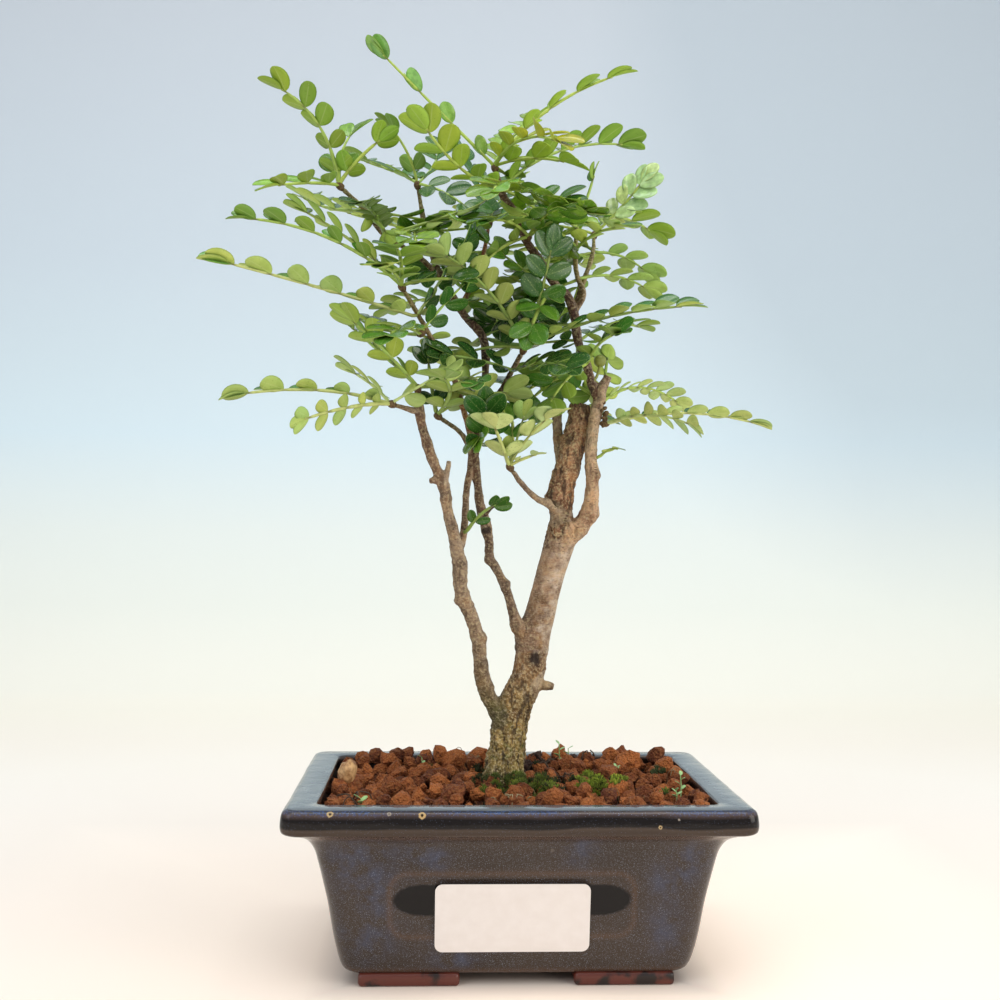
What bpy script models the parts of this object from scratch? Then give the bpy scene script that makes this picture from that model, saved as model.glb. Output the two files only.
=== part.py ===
"""A small chinese pepper bonsai in its glazed stoneware pot.

The pot stands on four feet. It holds a block of red clay granules, with two drain meshes under it.
The tree stands in a plain hole in the soil, and all its wood is one solid. Each bud on the wood carries a
spray of pinnate leaves. A spray is one solid too: every leaf is a thin arched blade with its leaflets cut
to the rib.

Lengths below are millimetres and angles are degrees. +Z is up, -Y is the front, and the tree's left is -X.
The row's origin is on the surface that the pot stands on, under the middle of the whole object's box.
"""

import math
import random

import bmesh
import bpy
from mathutils import Euler, Vector
from mathutils.bvhtree import BVHTree

MM = 0.001
MERGE = 0.00001
GAP = 0.35

# Where the pot's centre stands, seen from the middle of the whole object's box.
POT_OFFSET = Vector((3.2, 7.1, 0.0))

# Pot: the outer wall and the inner wall are (half length, height, corner radius), up the outside and then
# down the inside. Half its depth is half its length less so much.
DEPTH_LESS = 20.3
POT_OUTER = [
    (53.0, 3.2, 6.0), (57.2, 4.2, 7.5), (58.9, 7.5, 8.0), (60.6, 15.0, 8.0), (62.8, 28.0, 8.0),
    (65.6, 41.0, 8.0), (67.0, 46.0, 8.0), (69.4, 49.8, 7.0), (73.0, 52.0, 5.5), (75.6, 53.0, 4.5),
    (76.4, 54.6, 4.0), (76.4, 57.4, 4.0), (75.8, 60.0, 4.0), (74.2, 61.0, 4.0),
]
POT_INNER = [
    (66.4, 61.0, 4.0), (65.4, 60.2, 4.0), (65.0, 57.0, 4.0), (62.9, 48.0, 5.0), (55.8, 16.0, 5.0),
    (52.8, 12.0, 5.0),
]
CORNER_STEPS = 3
FLOOR_TOP = 12.0
FOOT_SIZE = (33.3, 14.0, 4.4)
FOOT_CENTRE = (35.6, 28.5)
FOOT_CORNER = 4.0
DRAIN_RADIUS = 7.5
DRAIN_X = 27.0
PANEL_SIZE = (80.0, 21.5)
PANEL_CENTRE = (-2.0, 27.7)
PANEL_CORNER = 6.0
PANEL_DEPTH = 0.7

# Drain meshes: a square of plastic net over each drain hole.
NET_SIDE = 23.0
NET_THICK = 0.6
NET_HOLES = 2
NET_BAR = 2.5

# Soil.
SOIL_BOTTOM = 13.3
SOIL_TOP = 57.2
GRANULE_STEP = 10.2
GRANULE_RADIUS = 5.2
GRANULE_LIFT = 0.6
GRANULE_MARGIN = 1.7
HOLE_CENTRE = (-3.0, 0.0)
HOLE_RADIUS = 9.8
HOLE_BOTTOM = 37.4

# Label: a bare paper sticker on the front wall.
LABEL_SIZE = (50.7, 23.2)
LABEL_CENTRE = (-1.9, 23.5)
LABEL_CORNER = 2.5
LABEL_THICK = 0.4

# Wood: each stem is a list of (x, y, z, radius) from the pot's centre, with its number of sides.
# A stem starts inside the one that it grows from. Its ends are domed by a share of the radius.
END_DOME = 0.35
STEMS = {
    "trunk": (10, [
        (-3.0, 0.0, 40.6, 7.0), (-3.0, 0.0, 47.0, 8.4), (-3.0, 0.0, 57.5, 8.6), (-3.0, 0.0, 61.5, 7.9),
        (-2.7, 0.0, 66.0, 7.2), (-2.0, 0.0, 72.0, 6.7), (-1.0, 0.0, 79.5, 6.5), (1.0, 0.0, 88.0, 6.4),
        (5.0, 0.0, 96.0, 5.8), (6.5, 1.0, 104.5, 5.9), (7.5, 1.0, 112.5, 6.1), (9.5, 1.0, 119.0, 5.6),
        (11.5, 1.0, 127.5, 5.3), (14.5, 2.0, 138.5, 5.3), (17.0, 2.0, 147.0, 5.6), (18.5, 2.0, 153.5, 5.6),
    ]),
    "stump": (8, [
        (18.0, 2.0, 148.0, 4.6), (17.0, 3.0, 161.5, 4.0), (19.0, 3.0, 172.5, 4.2),
        (20.5, 3.0, 179.5, 4.5), (23.0, 4.0, 187.0, 4.0), (24.0, 4.0, 196.0, 3.2),
    ]),
    "right": (7, [
        (19.5, 1.5, 147.5, 3.6), (25.0, 0.0, 153.5, 3.3), (27.3, -1.0, 159.0, 3.0),
        (28.0, -1.0, 166.0, 2.5), (28.0, -1.0, 172.5, 2.4), (27.5, -2.0, 181.5, 2.3),
        (29.5, -2.0, 194.5, 2.3), (31.0, -2.0, 201.0, 2.0), (33.5, -2.0, 206.5, 1.5),
    ]),
    "dark": (6, [
        (30.2, -2.0, 197.5, 1.8), (27.5, -2.0, 203.5, 1.8), (25.0, -3.0, 211.5, 1.7),
        (22.0, -4.0, 219.0, 1.7), (21.0, -4.0, 226.5, 1.7), (20.0, -4.0, 230.5, 1.8),
    ]),
    "arm": (5, [
        (20.5, -4.0, 228.5, 1.7), (18.0, -5.0, 235.0, 1.6), (14.0, -6.0, 238.0, 1.6),
        (8.0, -8.0, 246.5, 1.6), (2.5, -9.0, 254.0, 1.5), (-1.0, -10.0, 262.5, 1.5),
        (-6.0, -12.0, 269.0, 1.4), (-8.5, -14.0, 276.5, 1.1),
    ]),
    "young": (4, [
        (20.5, -4.0, 229.0, 1.3), (24.0, -3.0, 236.0, 1.1), (22.0, -1.0, 242.5, 1.0),
        (21.5, 2.0, 250.0, 1.0), (22.5, 6.0, 262.5, 0.8),
    ]),
    "behind": (4, [
        (20.5, -3.5, 229.5, 1.2), (24.0, 1.0, 240.0, 1.0), (29.0, 9.0, 255.0, 0.9),
        (29.5, 12.0, 260.0, 0.8),
    ]),
    "upper_left": (5, [
        (18.5, 3.5, 170.0, 1.9), (16.5, 5.0, 178.0, 1.6), (16.0, 7.0, 186.5, 1.9),
        (16.0, 9.0, 194.0, 1.7), (17.0, 9.0, 198.5, 1.1),
    ]),
    "upper_arm": (4, [(16.0, 8.5, 193.0, 1.3), (11.0, 13.0, 195.5, 1.1), (5.0, 18.0, 200.0, 0.9)]),
    "stem2": (7, [
        (-1.5, 0.0, 80.5, 3.4), (-7.5, -1.0, 88.0, 3.0), (-11.0, -3.0, 96.5, 2.9),
        (-12.0, -5.0, 104.5, 2.5), (-13.5, -6.0, 113.0, 2.6), (-15.5, -7.0, 119.5, 2.5),
        (-19.0, -9.0, 127.5, 2.7), (-20.0, -10.0, 138.5, 2.7), (-22.5, -12.0, 149.5, 2.1),
        (-24.5, -14.0, 157.5, 1.9), (-26.0, -15.0, 165.5, 2.2), (-28.5, -17.0, 171.0, 1.8),
        (-30.5, -18.0, 176.0, 1.9), (-33.5, -20.0, 185.5, 1.7), (-34.5, -21.0, 191.5, 1.7),
        (-35.0, -22.0, 196.5, 1.4),
    ]),
    "spur": (4, [(-34.5, -21.0, 190.8, 1.2), (-37.5, -24.0, 191.0, 1.0), (-42.5, -28.0, 192.0, 0.8)]),
    "stem2b": (5, [
        (-21.0, -10.5, 141.0, 1.8), (-19.0, -8.5, 146.0, 1.4), (-18.0, -7.0, 157.5, 1.3),
        (-17.5, -6.0, 166.0, 1.3), (-16.5, -5.0, 171.5, 1.3), (-15.8, -4.0, 179.0, 1.5),
    ]),
    "stem3": (6, [
        (6.5, 0.0, 108.0, 2.6), (2.0, -2.0, 115.5, 2.1), (0.0, -3.0, 119.5, 1.8),
        (-2.5, -3.0, 127.5, 1.7), (-6.5, -4.0, 136.0, 1.7), (-9.0, -4.0, 140.5, 1.7),
        (-9.5, -4.0, 147.0, 1.8), (-11.5, -4.0, 155.0, 2.0), (-13.0, -4.0, 160.5, 1.7),
        (-13.5, -4.0, 166.0, 1.5), (-14.5, -4.0, 171.5, 1.7), (-15.5, -4.0, 180.0, 2.1),
    ]),
    "left_twig": (4, [
        (-15.8, -4.5, 178.5, 1.3), (-17.5, -6.0, 181.0, 1.1), (-19.5, -8.0, 184.0, 1.0),
        (-27.0, -14.0, 189.0, 0.8),
    ]),
    "left_canopy": (5, [
        (-15.5, -4.0, 178.5, 1.6), (-16.0, -5.0, 182.5, 1.3), (-18.0, -7.0, 189.5, 1.2),
        (-20.5, -10.0, 197.0, 1.2), (-23.5, -13.0, 205.5, 1.1), (-25.0, -14.0, 208.5, 1.1),
        (-29.0, -17.0, 214.0, 1.0), (-34.5, -23.0, 222.5, 0.9), (-40.0, -28.0, 231.0, 0.8),
    ]),
    "mid_canopy": (5, [
        (-15.5, -4.0, 178.0, 2.0), (-14.0, -3.0, 184.5, 1.6), (-12.0, -1.0, 190.0, 1.5),
        (-10.5, 0.0, 194.5, 1.5), (-11.0, 2.0, 200.0, 1.5), (-11.0, 3.0, 208.5, 1.5),
        (-11.0, 4.0, 215.0, 1.7), (-12.5, 5.0, 222.0, 1.5), (-18.0, 6.5, 228.0, 1.5),
        (-23.0, 8.0, 236.0, 1.5), (-29.0, 9.0, 246.5, 1.5), (-31.0, 10.0, 253.0, 1.3),
        (-34.0, 11.0, 263.5, 1.1), (-36.5, 12.0, 277.0, 0.8),
    ]),
    "high_twig": (4, [
        (-28.5, 8.5, 243.5, 1.1), (-34.0, 2.0, 248.0, 1.0), (-42.5, -3.0, 252.5, 0.9),
        (-48.0, -6.0, 255.0, 0.9), (-55.0, -9.0, 263.5, 0.9), (-62.5, -11.0, 270.0, 0.8),
    ]),
    "reddish": (4, [
        (-20.5, 7.0, 231.5, 1.2), (-17.0, 10.0, 239.5, 1.0), (-14.0, 13.0, 247.0, 0.9),
        (-11.5, 15.0, 255.5, 0.9), (-10.0, 17.0, 264.5, 0.8),
    ]),
    "brown_right": (4, [
        (-10.8, 0.5, 196.5, 1.2), (-6.5, -1.0, 199.5, 1.0), (-1.5, -3.0, 208.0, 1.0),
        (1.5, -4.0, 213.5, 1.0),
    ]),
    "trunk_twig": (5, [
        (16.5, 0.5, 155.0, 1.6), (12.0, -3.0, 159.5, 1.3), (7.0, -6.0, 162.0, 1.1),
        (2.0, -9.0, 166.5, 1.0), (-1.5, -11.0, 171.0, 0.9),
    ]),
    "dry_twig": (4, [(-11.5, -4.5, 154.5, 0.9), (-9.0, -7.0, 157.5, 0.6), (-6.5, -9.0, 159.5, 0.5)]),
    "side_stub": (4, [
        (-25.8, -15.0, 165.0, 1.2), (-25.0, -16.0, 168.5, 1.0), (-24.0, -17.0, 174.0, 0.9),
    ]),
    "trunk_knob": (5, [(6.0, 0.0, 94.5, 2.6), (11.5, -1.0, 94.0, 2.3), (14.8, -1.5, 93.4, 1.6)]),
    "stem_knob": (4, [(-27.0, -16.0, 167.5, 1.6), (-31.0, -17.0, 167.0, 1.1)]),
}

# Leaves: a leaf starts at its bud, heads off (0 is +X, 90 is the back, 180 is left) and rises. It droops and
# sweeps by so many degrees over its length. Roll turns its upper face about the rib, and fold lifts the
# leaflets on both sides of the rib.
LEAF_STEP = 16.5
LEAFLET_LENGTH = 12.5
LEAFLET_WIDTH = 8.2
LEAFLET_LEAN = 62.0
RIB_HALF = 0.6
ROOT_HALF = 0.8
BLADE_HALF = 0.3
PETIOLE = 7.0
BUD_RADIUS = 1.7
CLEAR_FROM = 4.5
CLEAR_HALF = 0.55
OWN_CLEAR_FROM = 10.0
BEND_REACHES = (4.0, 8.0, 12.0, 17.0, 23.0, 30.0)

# Each spray: stem, share of the stem's length, leaf colour, and its leaves as
# (heading, rise, length, droop, sweep, roll, fold).
SPRAYS = {
    "left_high": ("left_canopy", 0.85, "light", [(-142, 8, 78, -1, -18, 15, 45)]),
    "left_tip": ("left_canopy", 1.0, "green", [
        (-154, 37, 63, 42, -13, 10, 30), (163, 46, 55, 21, -8, 20, 20), (-116, -13, 38, 21, -10, 0, 15),
        (-86, 12, 42, 27, -12, 0, 20),
    ]),
    "stem2_tip": ("stem2", 1.0, "green", [(-135, 50, 42, 2, -28, 30, 15), (142, 39, 51, 10, -15, 0, 20)]),
    "left_mid": ("left_canopy", 0.75, "green", [
        (145, -7, 40, -28, -14, 0, 20), (-110, 4, 47, 33, -5, 0, 15),
    ]),
    "spur_tip": ("spur", 1.0, "light", [
        (-141, 11, 61, 26, -18, 10, 40), (-121, 2, 43, 19, -21, 0, 25), (127, 39, 32, 21, 15, 0, 20),
    ]),
    "left_twig_tip": ("left_twig", 1.0, "dark", [
        (-123, 69, 27, -5, 11, 40, 10), (-55, 29, 38, 21, -79, 0, 10),
    ]),
    "high_tip": ("high_twig", 1.0, "bright", [
        (-111, 73, 47, 60, -59, -50, 15), (97, 94, 31, 53, -69, 0, 15), (-124, -8, 37, 12, -23, 0, 25),
    ]),
    "high_upper": ("high_twig", 0.8, "green", [(138, 7, 44, -24, -14, 0, 25)]),
    "high_middle": ("high_twig", 0.56, "dark", [(-102, 24, 40, 46, -3, 0, 15)]),
    "arm_tip": ("arm", 1.0, "bright", [
        (-151, 34, 61, -6, -10, 25, 40), (-6, 63, 61, 54, -7, 0, 30), (-71, 22, 51, 60, 19, 0, 15),
        (80, 36, 63, 3, -29, 0, 20),
    ]),
    "arm_upper": ("arm", 0.9, "bright", [
        (-130, -8, 50, -63, -12, 30, 20), (27, 48, 64, 54, -11, 0, 25), (-102, -5, 50, 27, -17, 0, 15),
    ]),
    "arm_middle": ("arm", 0.56, "green", [(-48, 25, 37, 43, -1, 0, 15), (-115, 12, 40, 37, -4, 0, 10)]),
    "brown_tip": ("brown_right", 1.0, "dark", [
        (-67, 62, 46, -24, 5, 180, 10), (-127, 40, 62, 43, -7, 20, 25), (-45, 19, 69, 18, 43, 0, 25),
    ]),
    "right_upper": ("right", 0.72, "light", [(15, 17, 67, 33, -3, 0, 35), (-43, 21, 46, 44, -4, 0, 30)]),
    "behind_tip": ("behind", 1.0, "bright", [(-3, 42, 35, -14, -14, 40, 10), (63, 67, 47, 94, -48, 0, 20)]),
    "trunk_twig_tip": ("trunk_twig", 1.0, "light", [
        (-108, 37, 30, 5, -5, 0, 15), (-34, 72, 25, 9, -24, 0, 15), (-36, 25, 16, 18, -1, 0, 10),
        (74, 48, 36, 6, 27, 0, 15), (-33, 59, 32, 46, -30, 0, 15),
    ]),
    "mid_tip": ("mid_canopy", 1.0, "green", [
        (-139, 75, 30, 49, -13, 0, 15), (109, 26, 50, 5, 38, 0, 20), (60, 29, 45, -15, 25, 0, 20),
    ]),
    "mid_upper": ("mid_canopy", 0.85, "bright", [
        (-102, -20, 52, 10, 16, 0, 20), (137, 19, 48, 0, 7, 0, 20),
    ]),
    "reddish_tip": ("reddish", 1.0, "green", [
        (121, 62, 39, 12, 54, 0, 15), (79, 36, 47, -2, -21, 0, 20), (120, 31, 41, 46, -19, 0, 15),
    ]),
    "young_tip": ("young", 1.0, "bright", [(-40, 66, 25, -12, 52, 0, 15)]),
    "young_upper": ("young", 0.74, "green", [(-72, 15, 36, 29, 15, 0, 15)]),
    "dark_low": ("dark", 0.41, "green", [(-86, 25, 37, 31, 24, 0, 15)]),
    "stem3_tip": ("stem3", 0.97, "dark", [(-75, 18, 33, -37, -28, 0, 10)]),
    "left_low": ("left_canopy", 0.39, "light", [(-57, -6, 29, 53, -43, 0, 15)]),
    "stem2b_low": ("stem2b", 0.22, "dark", [(-46, 51, 23, 40, 8, 0, 10)]),
    "right_low": ("right", 0.51, "green", [(-34, 51, 12, 80, -11, 0, 5)]),
    "brown_middle": ("brown_right", 0.71, "dark", [(-61, 7, 48, 29, -12, 0, 15)]),
    "arm_low": ("arm", 0.21, "green", [(-169, 14, 32, 17, 0, 0, 10)]),
    "upper_arm_tip": ("upper_arm", 1.0, "green", [
        (31, 42, 31, 54, -13, 0, 15), (127, 37, 35, 55, 2, 0, 15),
    ]),
    "mid_low": ("mid_canopy", 0.16, "green", [(61, 25, 34, 9, -35, 0, 15)]),
    "young_low": ("young", 0.4, "green", [(39, 32, 39, 52, 5, 0, 15)]),
    "behind_upper": ("behind", 0.82, "green", [(27, 10, 32, 53, 7, 0, 15)]),
    "right_tip": ("right", 0.84, "green", [(48, 34, 54, 66, -13, 0, 20)]),
    "dark_middle": ("dark", 0.67, "green", [(51, 30, 48, 37, -9, 0, 15)]),
    "dark_upper": ("dark", 0.83, "dark", [(116, 15, 39, 14, 5, 0, 15)]),
    "arm_back": ("arm", 0.38, "green", [(48, 38, 51, 17, -11, 0, 20)]),
    "reddish_middle": ("reddish", 0.74, "green", [(57, 18, 39, 28, -8, 0, 15)]),
    "mid_back_upper": ("mid_canopy", 0.69, "green", [(48, 29, 45, 25, 14, 0, 15)]),
    "mid_back": ("mid_canopy", 0.58, "green", [(128, 19, 48, 37, 5, 0, 15)]),
    "mid_back_low": ("mid_canopy", 0.42, "dark", [(119, -15, 46, -28, 4, 0, 15)]),
}


def clear_scene():
    """Takes every object out of the open file."""
    for old in list(bpy.data.objects):
        bpy.data.objects.remove(old, do_unlink=True)


def make_material(name, colour, roughness, metallic=0.0):
    """A Principled material of one colour."""
    material = bpy.data.materials.new(name)
    material.use_nodes = True
    shader = material.node_tree.nodes["Principled BSDF"]
    shader.inputs["Base Color"].default_value = (*colour, 1.0)
    shader.inputs["Roughness"].default_value = roughness
    shader.inputs["Metallic"].default_value = metallic
    material.diffuse_color = (*colour, 1.0)
    return material


def add_solid(name, points, faces, material):
    """An object from points in millimetres about the pot's centre, set at its place in the row."""
    mesh = bpy.data.meshes.new(name)
    mesh.from_pydata([(Vector(p) + POT_OFFSET) * MM for p in points], [], faces)
    mesh.materials.append(material)
    thing = bpy.data.objects.new(name, mesh)
    bpy.context.collection.objects.link(thing)
    return thing


def combine(body, others, operation):
    """Joins the other solids to the body, or cuts them out of it, and removes them."""
    group = bpy.data.collections.new(body.name + "_parts")
    bpy.context.scene.collection.children.link(group)
    for other in others:
        group.objects.link(other)
    step = body.modifiers.new(operation.lower(), "BOOLEAN")
    step.operation = operation
    step.solver = "EXACT"
    step.operand_type = "COLLECTION"
    step.collection = group
    bpy.context.view_layer.update()
    scene_state = bpy.context.evaluated_depsgraph_get()
    old_mesh = body.data
    body.data = bpy.data.meshes.new_from_object(body.evaluated_get(scene_state))
    body.modifiers.clear()
    bpy.data.meshes.remove(old_mesh)
    for other in others:
        bpy.data.objects.remove(other, do_unlink=True)
    bpy.data.collections.remove(group)


def tidy_mesh(thing, smooth_under=0.0):
    """Merges doubled points, gives the mesh triangles alone, and shades it smooth up to an angle."""
    work = bmesh.new()
    work.from_mesh(thing.data)
    bmesh.ops.remove_doubles(work, verts=work.verts, dist=MERGE)
    bmesh.ops.dissolve_degenerate(work, dist=MERGE, edges=work.edges)
    bmesh.ops.triangulate(work, faces=work.faces)
    work.to_mesh(thing.data)
    work.free()
    if smooth_under > 0:
        thing.data.shade_smooth()
        thing.data.set_sharp_from_angle(angle=math.radians(smooth_under))


def rounded_ring(half_x, half_y, corner, steps=CORNER_STEPS):
    """A rectangle with round corners, as (x, y) points anticlockwise from the right side."""
    corner = min(corner, half_x, half_y)
    ring = []
    for quarter, (side_x, side_y) in enumerate([(1, 1), (-1, 1), (-1, -1), (1, -1)]):
        for step in range(steps + 1):
            turn = math.radians(90 * (quarter + step / steps))
            ring.append((
                side_x * (half_x - corner) + corner * math.cos(turn),
                side_y * (half_y - corner) + corner * math.sin(turn),
            ))
    return ring


def round_ring(x, y, radius, sides, z):
    """A circle at a height, as points anticlockwise."""
    turns = [2 * math.pi * i / sides for i in range(sides)]
    return [(x + radius * math.cos(turn), y + radius * math.sin(turn), z) for turn in turns]


def stack(rings):
    """A closed solid through rings of equal count, from the bottom ring to the last, with flat ends."""
    count = len(rings[0])
    points = [p for ring in rings for p in ring]
    faces = []
    for level in range(len(rings) - 1):
        for i in range(count):
            j = (i + 1) % count
            low, high = level * count, (level + 1) * count
            faces.append((low + i, low + j, high + j, high + i))
    faces.append(tuple(range(count - 1, -1, -1)))
    faces.append(tuple(range((len(rings) - 1) * count, len(rings) * count)))
    return points, faces


def pot_ring(half_x, z, corner, less=0.0):
    """The pot's plan at a height, drawn in by so much."""
    return [(x, y, z) for x, y in rounded_ring(half_x - less, half_x - DEPTH_LESS - less, corner - less)]


def width_at(profile, z):
    """Half the pot's length on a wall's profile at a height, and the corner radius there."""
    for low, high in zip(profile, profile[1:]):
        if low[1] <= z <= high[1]:
            share = (z - low[1]) / (high[1] - low[1])
            return low[0] + (high[0] - low[0]) * share, low[2] + (high[2] - low[2]) * share
    return profile[-1][0], profile[-1][2]


def wall_plate(size, centre, corner, inner, outer, side):
    """A plate with round corners that lies along the front (side -1) or back wall, between two distances."""
    half_x, half_z = size[0] / 2, size[1] / 2
    low, high = (width_at(POT_OUTER, centre[1] + rise)[0] - DEPTH_LESS for rise in (-half_z, half_z))
    along = Vector((0.0, (high - low) / 2, half_z)).normalized()
    out = Vector((0.0, along.z, -along.y))
    middle = Vector((centre[0], (low + high) / 2, centre[1]))
    rings = []
    for away in (inner, outer):
        ring = []
        for x, v in rounded_ring(half_x, half_z, corner):
            p = middle + Vector((x, 0.0, 0.0)) + along * v + out * away
            ring.append((p.x, side * p.y, p.z))
        rings.append(ring if side > 0 else ring[::-1])
    return stack(rings[::-1])


def make_pot(glaze):
    """The pot: a wide lip, flared walls, a shallow panel front and back, four feet and two drain holes."""
    rings = [pot_ring(*level) for level in POT_OUTER + POT_INNER]
    points, faces = stack(rings)
    pot = add_solid("pot", points, faces, glaze)
    feet = []
    for side_x in (-1, 1):
        for side_y in (-1, 1):
            plan = rounded_ring(FOOT_SIZE[0] / 2, FOOT_SIZE[1] / 2, FOOT_CORNER, steps=2)
            low = [(x + side_x * FOOT_CENTRE[0], y + side_y * FOOT_CENTRE[1], 0.0) for x, y in plan]
            high = [(x, y, FOOT_SIZE[2]) for x, y, _ in low]
            feet.append(add_solid("foot", *stack([low, high]), glaze))
    combine(pot, feet, "UNION")
    cutters = []
    for side_x in (-1, 1):
        rings = [round_ring(side_x * DRAIN_X, 0.0, DRAIN_RADIUS, 15, z) for z in (2.0, FLOOR_TOP + 3.0)]
        cutters.append(add_solid("drain", *stack(rings), glaze))
    for side in (-1, 1):
        plate = wall_plate(PANEL_SIZE, PANEL_CENTRE, PANEL_CORNER, -PANEL_DEPTH, 3.0, side)
        cutters.append(add_solid("panel", *plate, glaze))
    combine(pot, cutters, "DIFFERENCE")
    tidy_mesh(pot, smooth_under=35.0)


def make_drain_mesh(name, centre_x, plastic):
    """A square of coarse plastic net on the pot's floor."""
    half = NET_SIDE / 2
    pitch = (NET_SIDE - NET_BAR) / NET_HOLES
    z_low = FLOOR_TOP + GAP
    plan = rounded_ring(half, half, 1.0, steps=1)
    points, faces = stack([[(x, y, z) for x, y in plan] for z in (z_low, z_low + NET_THICK)])
    net = add_solid(name, [(x + centre_x, y, z) for x, y, z in points], faces, plastic)
    cutters = []
    for row in range(NET_HOLES):
        for column in range(NET_HOLES):
            x = centre_x - half + NET_BAR + column * pitch
            y = -half + NET_BAR + row * pitch
            side = pitch - NET_BAR
            plan = [(x, y), (x + side, y), (x + side, y + side), (x, y + side)]
            rings = [[(u, v, z) for u, v in plan] for z in (z_low - 4.0, z_low + 4.0)]
            cutters.append(add_solid("net_hole", *stack(rings), plastic))
    combine(net, cutters, "DIFFERENCE")
    tidy_mesh(net)


def granule(centre, radius, draw):
    """An angular crumb of fired clay: a tilted four-sided frustum with its corners pushed about."""
    plan = []
    for i in range(4):
        turn = math.radians(90 * i + draw.uniform(-22.0, 22.0))
        out = radius * draw.uniform(0.82, 1.1)
        plan.append((out * math.cos(turn), out * math.sin(turn)))
    tilt = Euler((draw.uniform(-0.3, 0.3), draw.uniform(-0.3, 0.3), draw.uniform(0.0, 6.28)))
    rings = []
    for height, widen in ((-0.85, 1.0), (0.62, 0.68)):
        ring = [Vector((x * widen, y * widen, height * radius)) for x, y in plan]
        for p in ring:
            p.rotate(tilt)
        rings.append([p + Vector(centre) for p in ring])
    return stack(rings)


def make_soil(clay):
    """The soil: a block that fills the pot, its top covered with granules, with a hole for the trunk."""
    inner = POT_INNER[::-1]
    rings = []
    for z in (SOIL_BOTTOM, inner[1][1], inner[2][1], SOIL_TOP):
        half_x, corner = width_at(inner, z)
        rings.append(pot_ring(half_x, z, corner, less=GAP))
    soil = add_solid("soil", *stack(rings), clay)
    draw = random.Random(5)
    reach_x = max(x for x, _, _ in rings[-1]) - GRANULE_RADIUS - GRANULE_MARGIN
    reach_y = max(y for _, y, _ in rings[-1]) - GRANULE_RADIUS - GRANULE_MARGIN
    crumbs = []
    rows = math.ceil(2 * reach_y / (GRANULE_STEP * 0.87))
    columns = math.ceil(2 * reach_x / GRANULE_STEP)
    for row in range(rows + 1):
        for column in range(columns + 1):
            x = -reach_x + (column + 0.5 * (row % 2)) * 2 * reach_x / columns + draw.uniform(-1.0, 1.0)
            y = -reach_y + row * 2 * reach_y / rows + draw.uniform(-1.0, 1.0)
            x, y = min(max(x, -reach_x), reach_x), min(max(y, -reach_y), reach_y)
            beyond = max(abs(x) / reach_x + abs(y) / reach_y - 1.9, 0.0)
            x, y = x * (1 - beyond * 0.4), y * (1 - beyond * 0.4)
            lift = GRANULE_LIFT + draw.uniform(-0.6, 1.4)
            size = GRANULE_RADIUS * draw.uniform(0.85, 1.05)
            if column == columns and row % 2:
                continue
            crumbs.append(add_solid("crumb", *granule((x, y, SOIL_TOP + lift), size, draw), clay))
    combine(soil, crumbs, "UNION")
    rings = [round_ring(*HOLE_CENTRE, HOLE_RADIUS, 12, z) for z in (HOLE_BOTTOM, SOIL_TOP + 20.0)]
    combine(soil, [add_solid("hole", *stack(rings), clay)], "DIFFERENCE")
    tidy_mesh(soil)


def tube(route, sides, swell=0.0):
    """A closed round solid along a route of (x, y, z, radius), with domed ends."""
    spots = [Vector(p[:3]) for p in route]
    sizes = [p[3] + swell for p in route]
    ways = []
    for i in range(len(spots)):
        ways.append((spots[min(i + 1, len(spots) - 1)] - spots[max(i - 1, 0)]).normalized())
    across = ways[0].orthogonal().normalized()
    points, faces = [spots[0] - ways[0] * sizes[0] * END_DOME], []
    for spot, size, way in zip(spots, sizes, ways):
        across = (across - way * across.dot(way)).normalized()
        other = way.cross(across)
        for i in range(sides):
            turn = 2 * math.pi * i / sides
            points.append(spot + (across * math.cos(turn) + other * math.sin(turn)) * size)
    points.append(spots[-1] + ways[-1] * sizes[-1] * END_DOME)
    last = len(points) - 1
    for i in range(sides):
        j = (i + 1) % sides
        faces.append((0, 1 + j, 1 + i))
        for level in range(len(spots) - 1):
            low, high = 1 + level * sides, 1 + (level + 1) * sides
            faces.append((low + i, low + j, high + j))
            faces.append((low + i, high + j, high + i))
        faces.append((last, last - sides + i, last - sides + j))
    return points, faces


def make_wood(bark):
    """All wood, from the foot in the soil to the twig tips, as one solid."""
    stems = [add_solid(name, *tube(route, sides), bark) for name, (sides, route) in STEMS.items()]
    wood = stems[0]
    wood.name = "wood"
    combine(wood, stems[1:], "UNION")
    tidy_mesh(wood, smooth_under=50.0)


def make_label(paper):
    """The bare paper label on the front wall."""
    plate = wall_plate(LABEL_SIZE, LABEL_CENTRE, LABEL_CORNER, GAP, GAP + LABEL_THICK, -1)
    add_solid("label", *plate, paper)


def stem_at(name, share):
    """The point, the direction and the radius at a share of a stem's length."""
    route = STEMS[name][1]
    spots = [Vector(p[:3]) for p in route]
    spans = [(b - a).length for a, b in zip(spots, spots[1:])]
    left = share * sum(spans)
    for i, span in enumerate(spans):
        if left <= span or i == len(spans) - 1:
            t = min(left / span, 1.0)
            way = (spots[i + 1] - spots[i]).normalized()
            return spots[i].lerp(spots[i + 1], t), way, route[i][3] + (route[i + 1][3] - route[i][3]) * t
        left -= span


def leaf_way(leaf, share):
    """The direction of a leaf's rib at a share of its length."""
    heading = math.radians(leaf[0] + leaf[4] * share)
    rise = math.radians(leaf[1] - leaf[3] * share)
    return Vector((math.cos(rise) * math.cos(heading), math.cos(rise) * math.sin(heading), math.sin(rise)))


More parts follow.
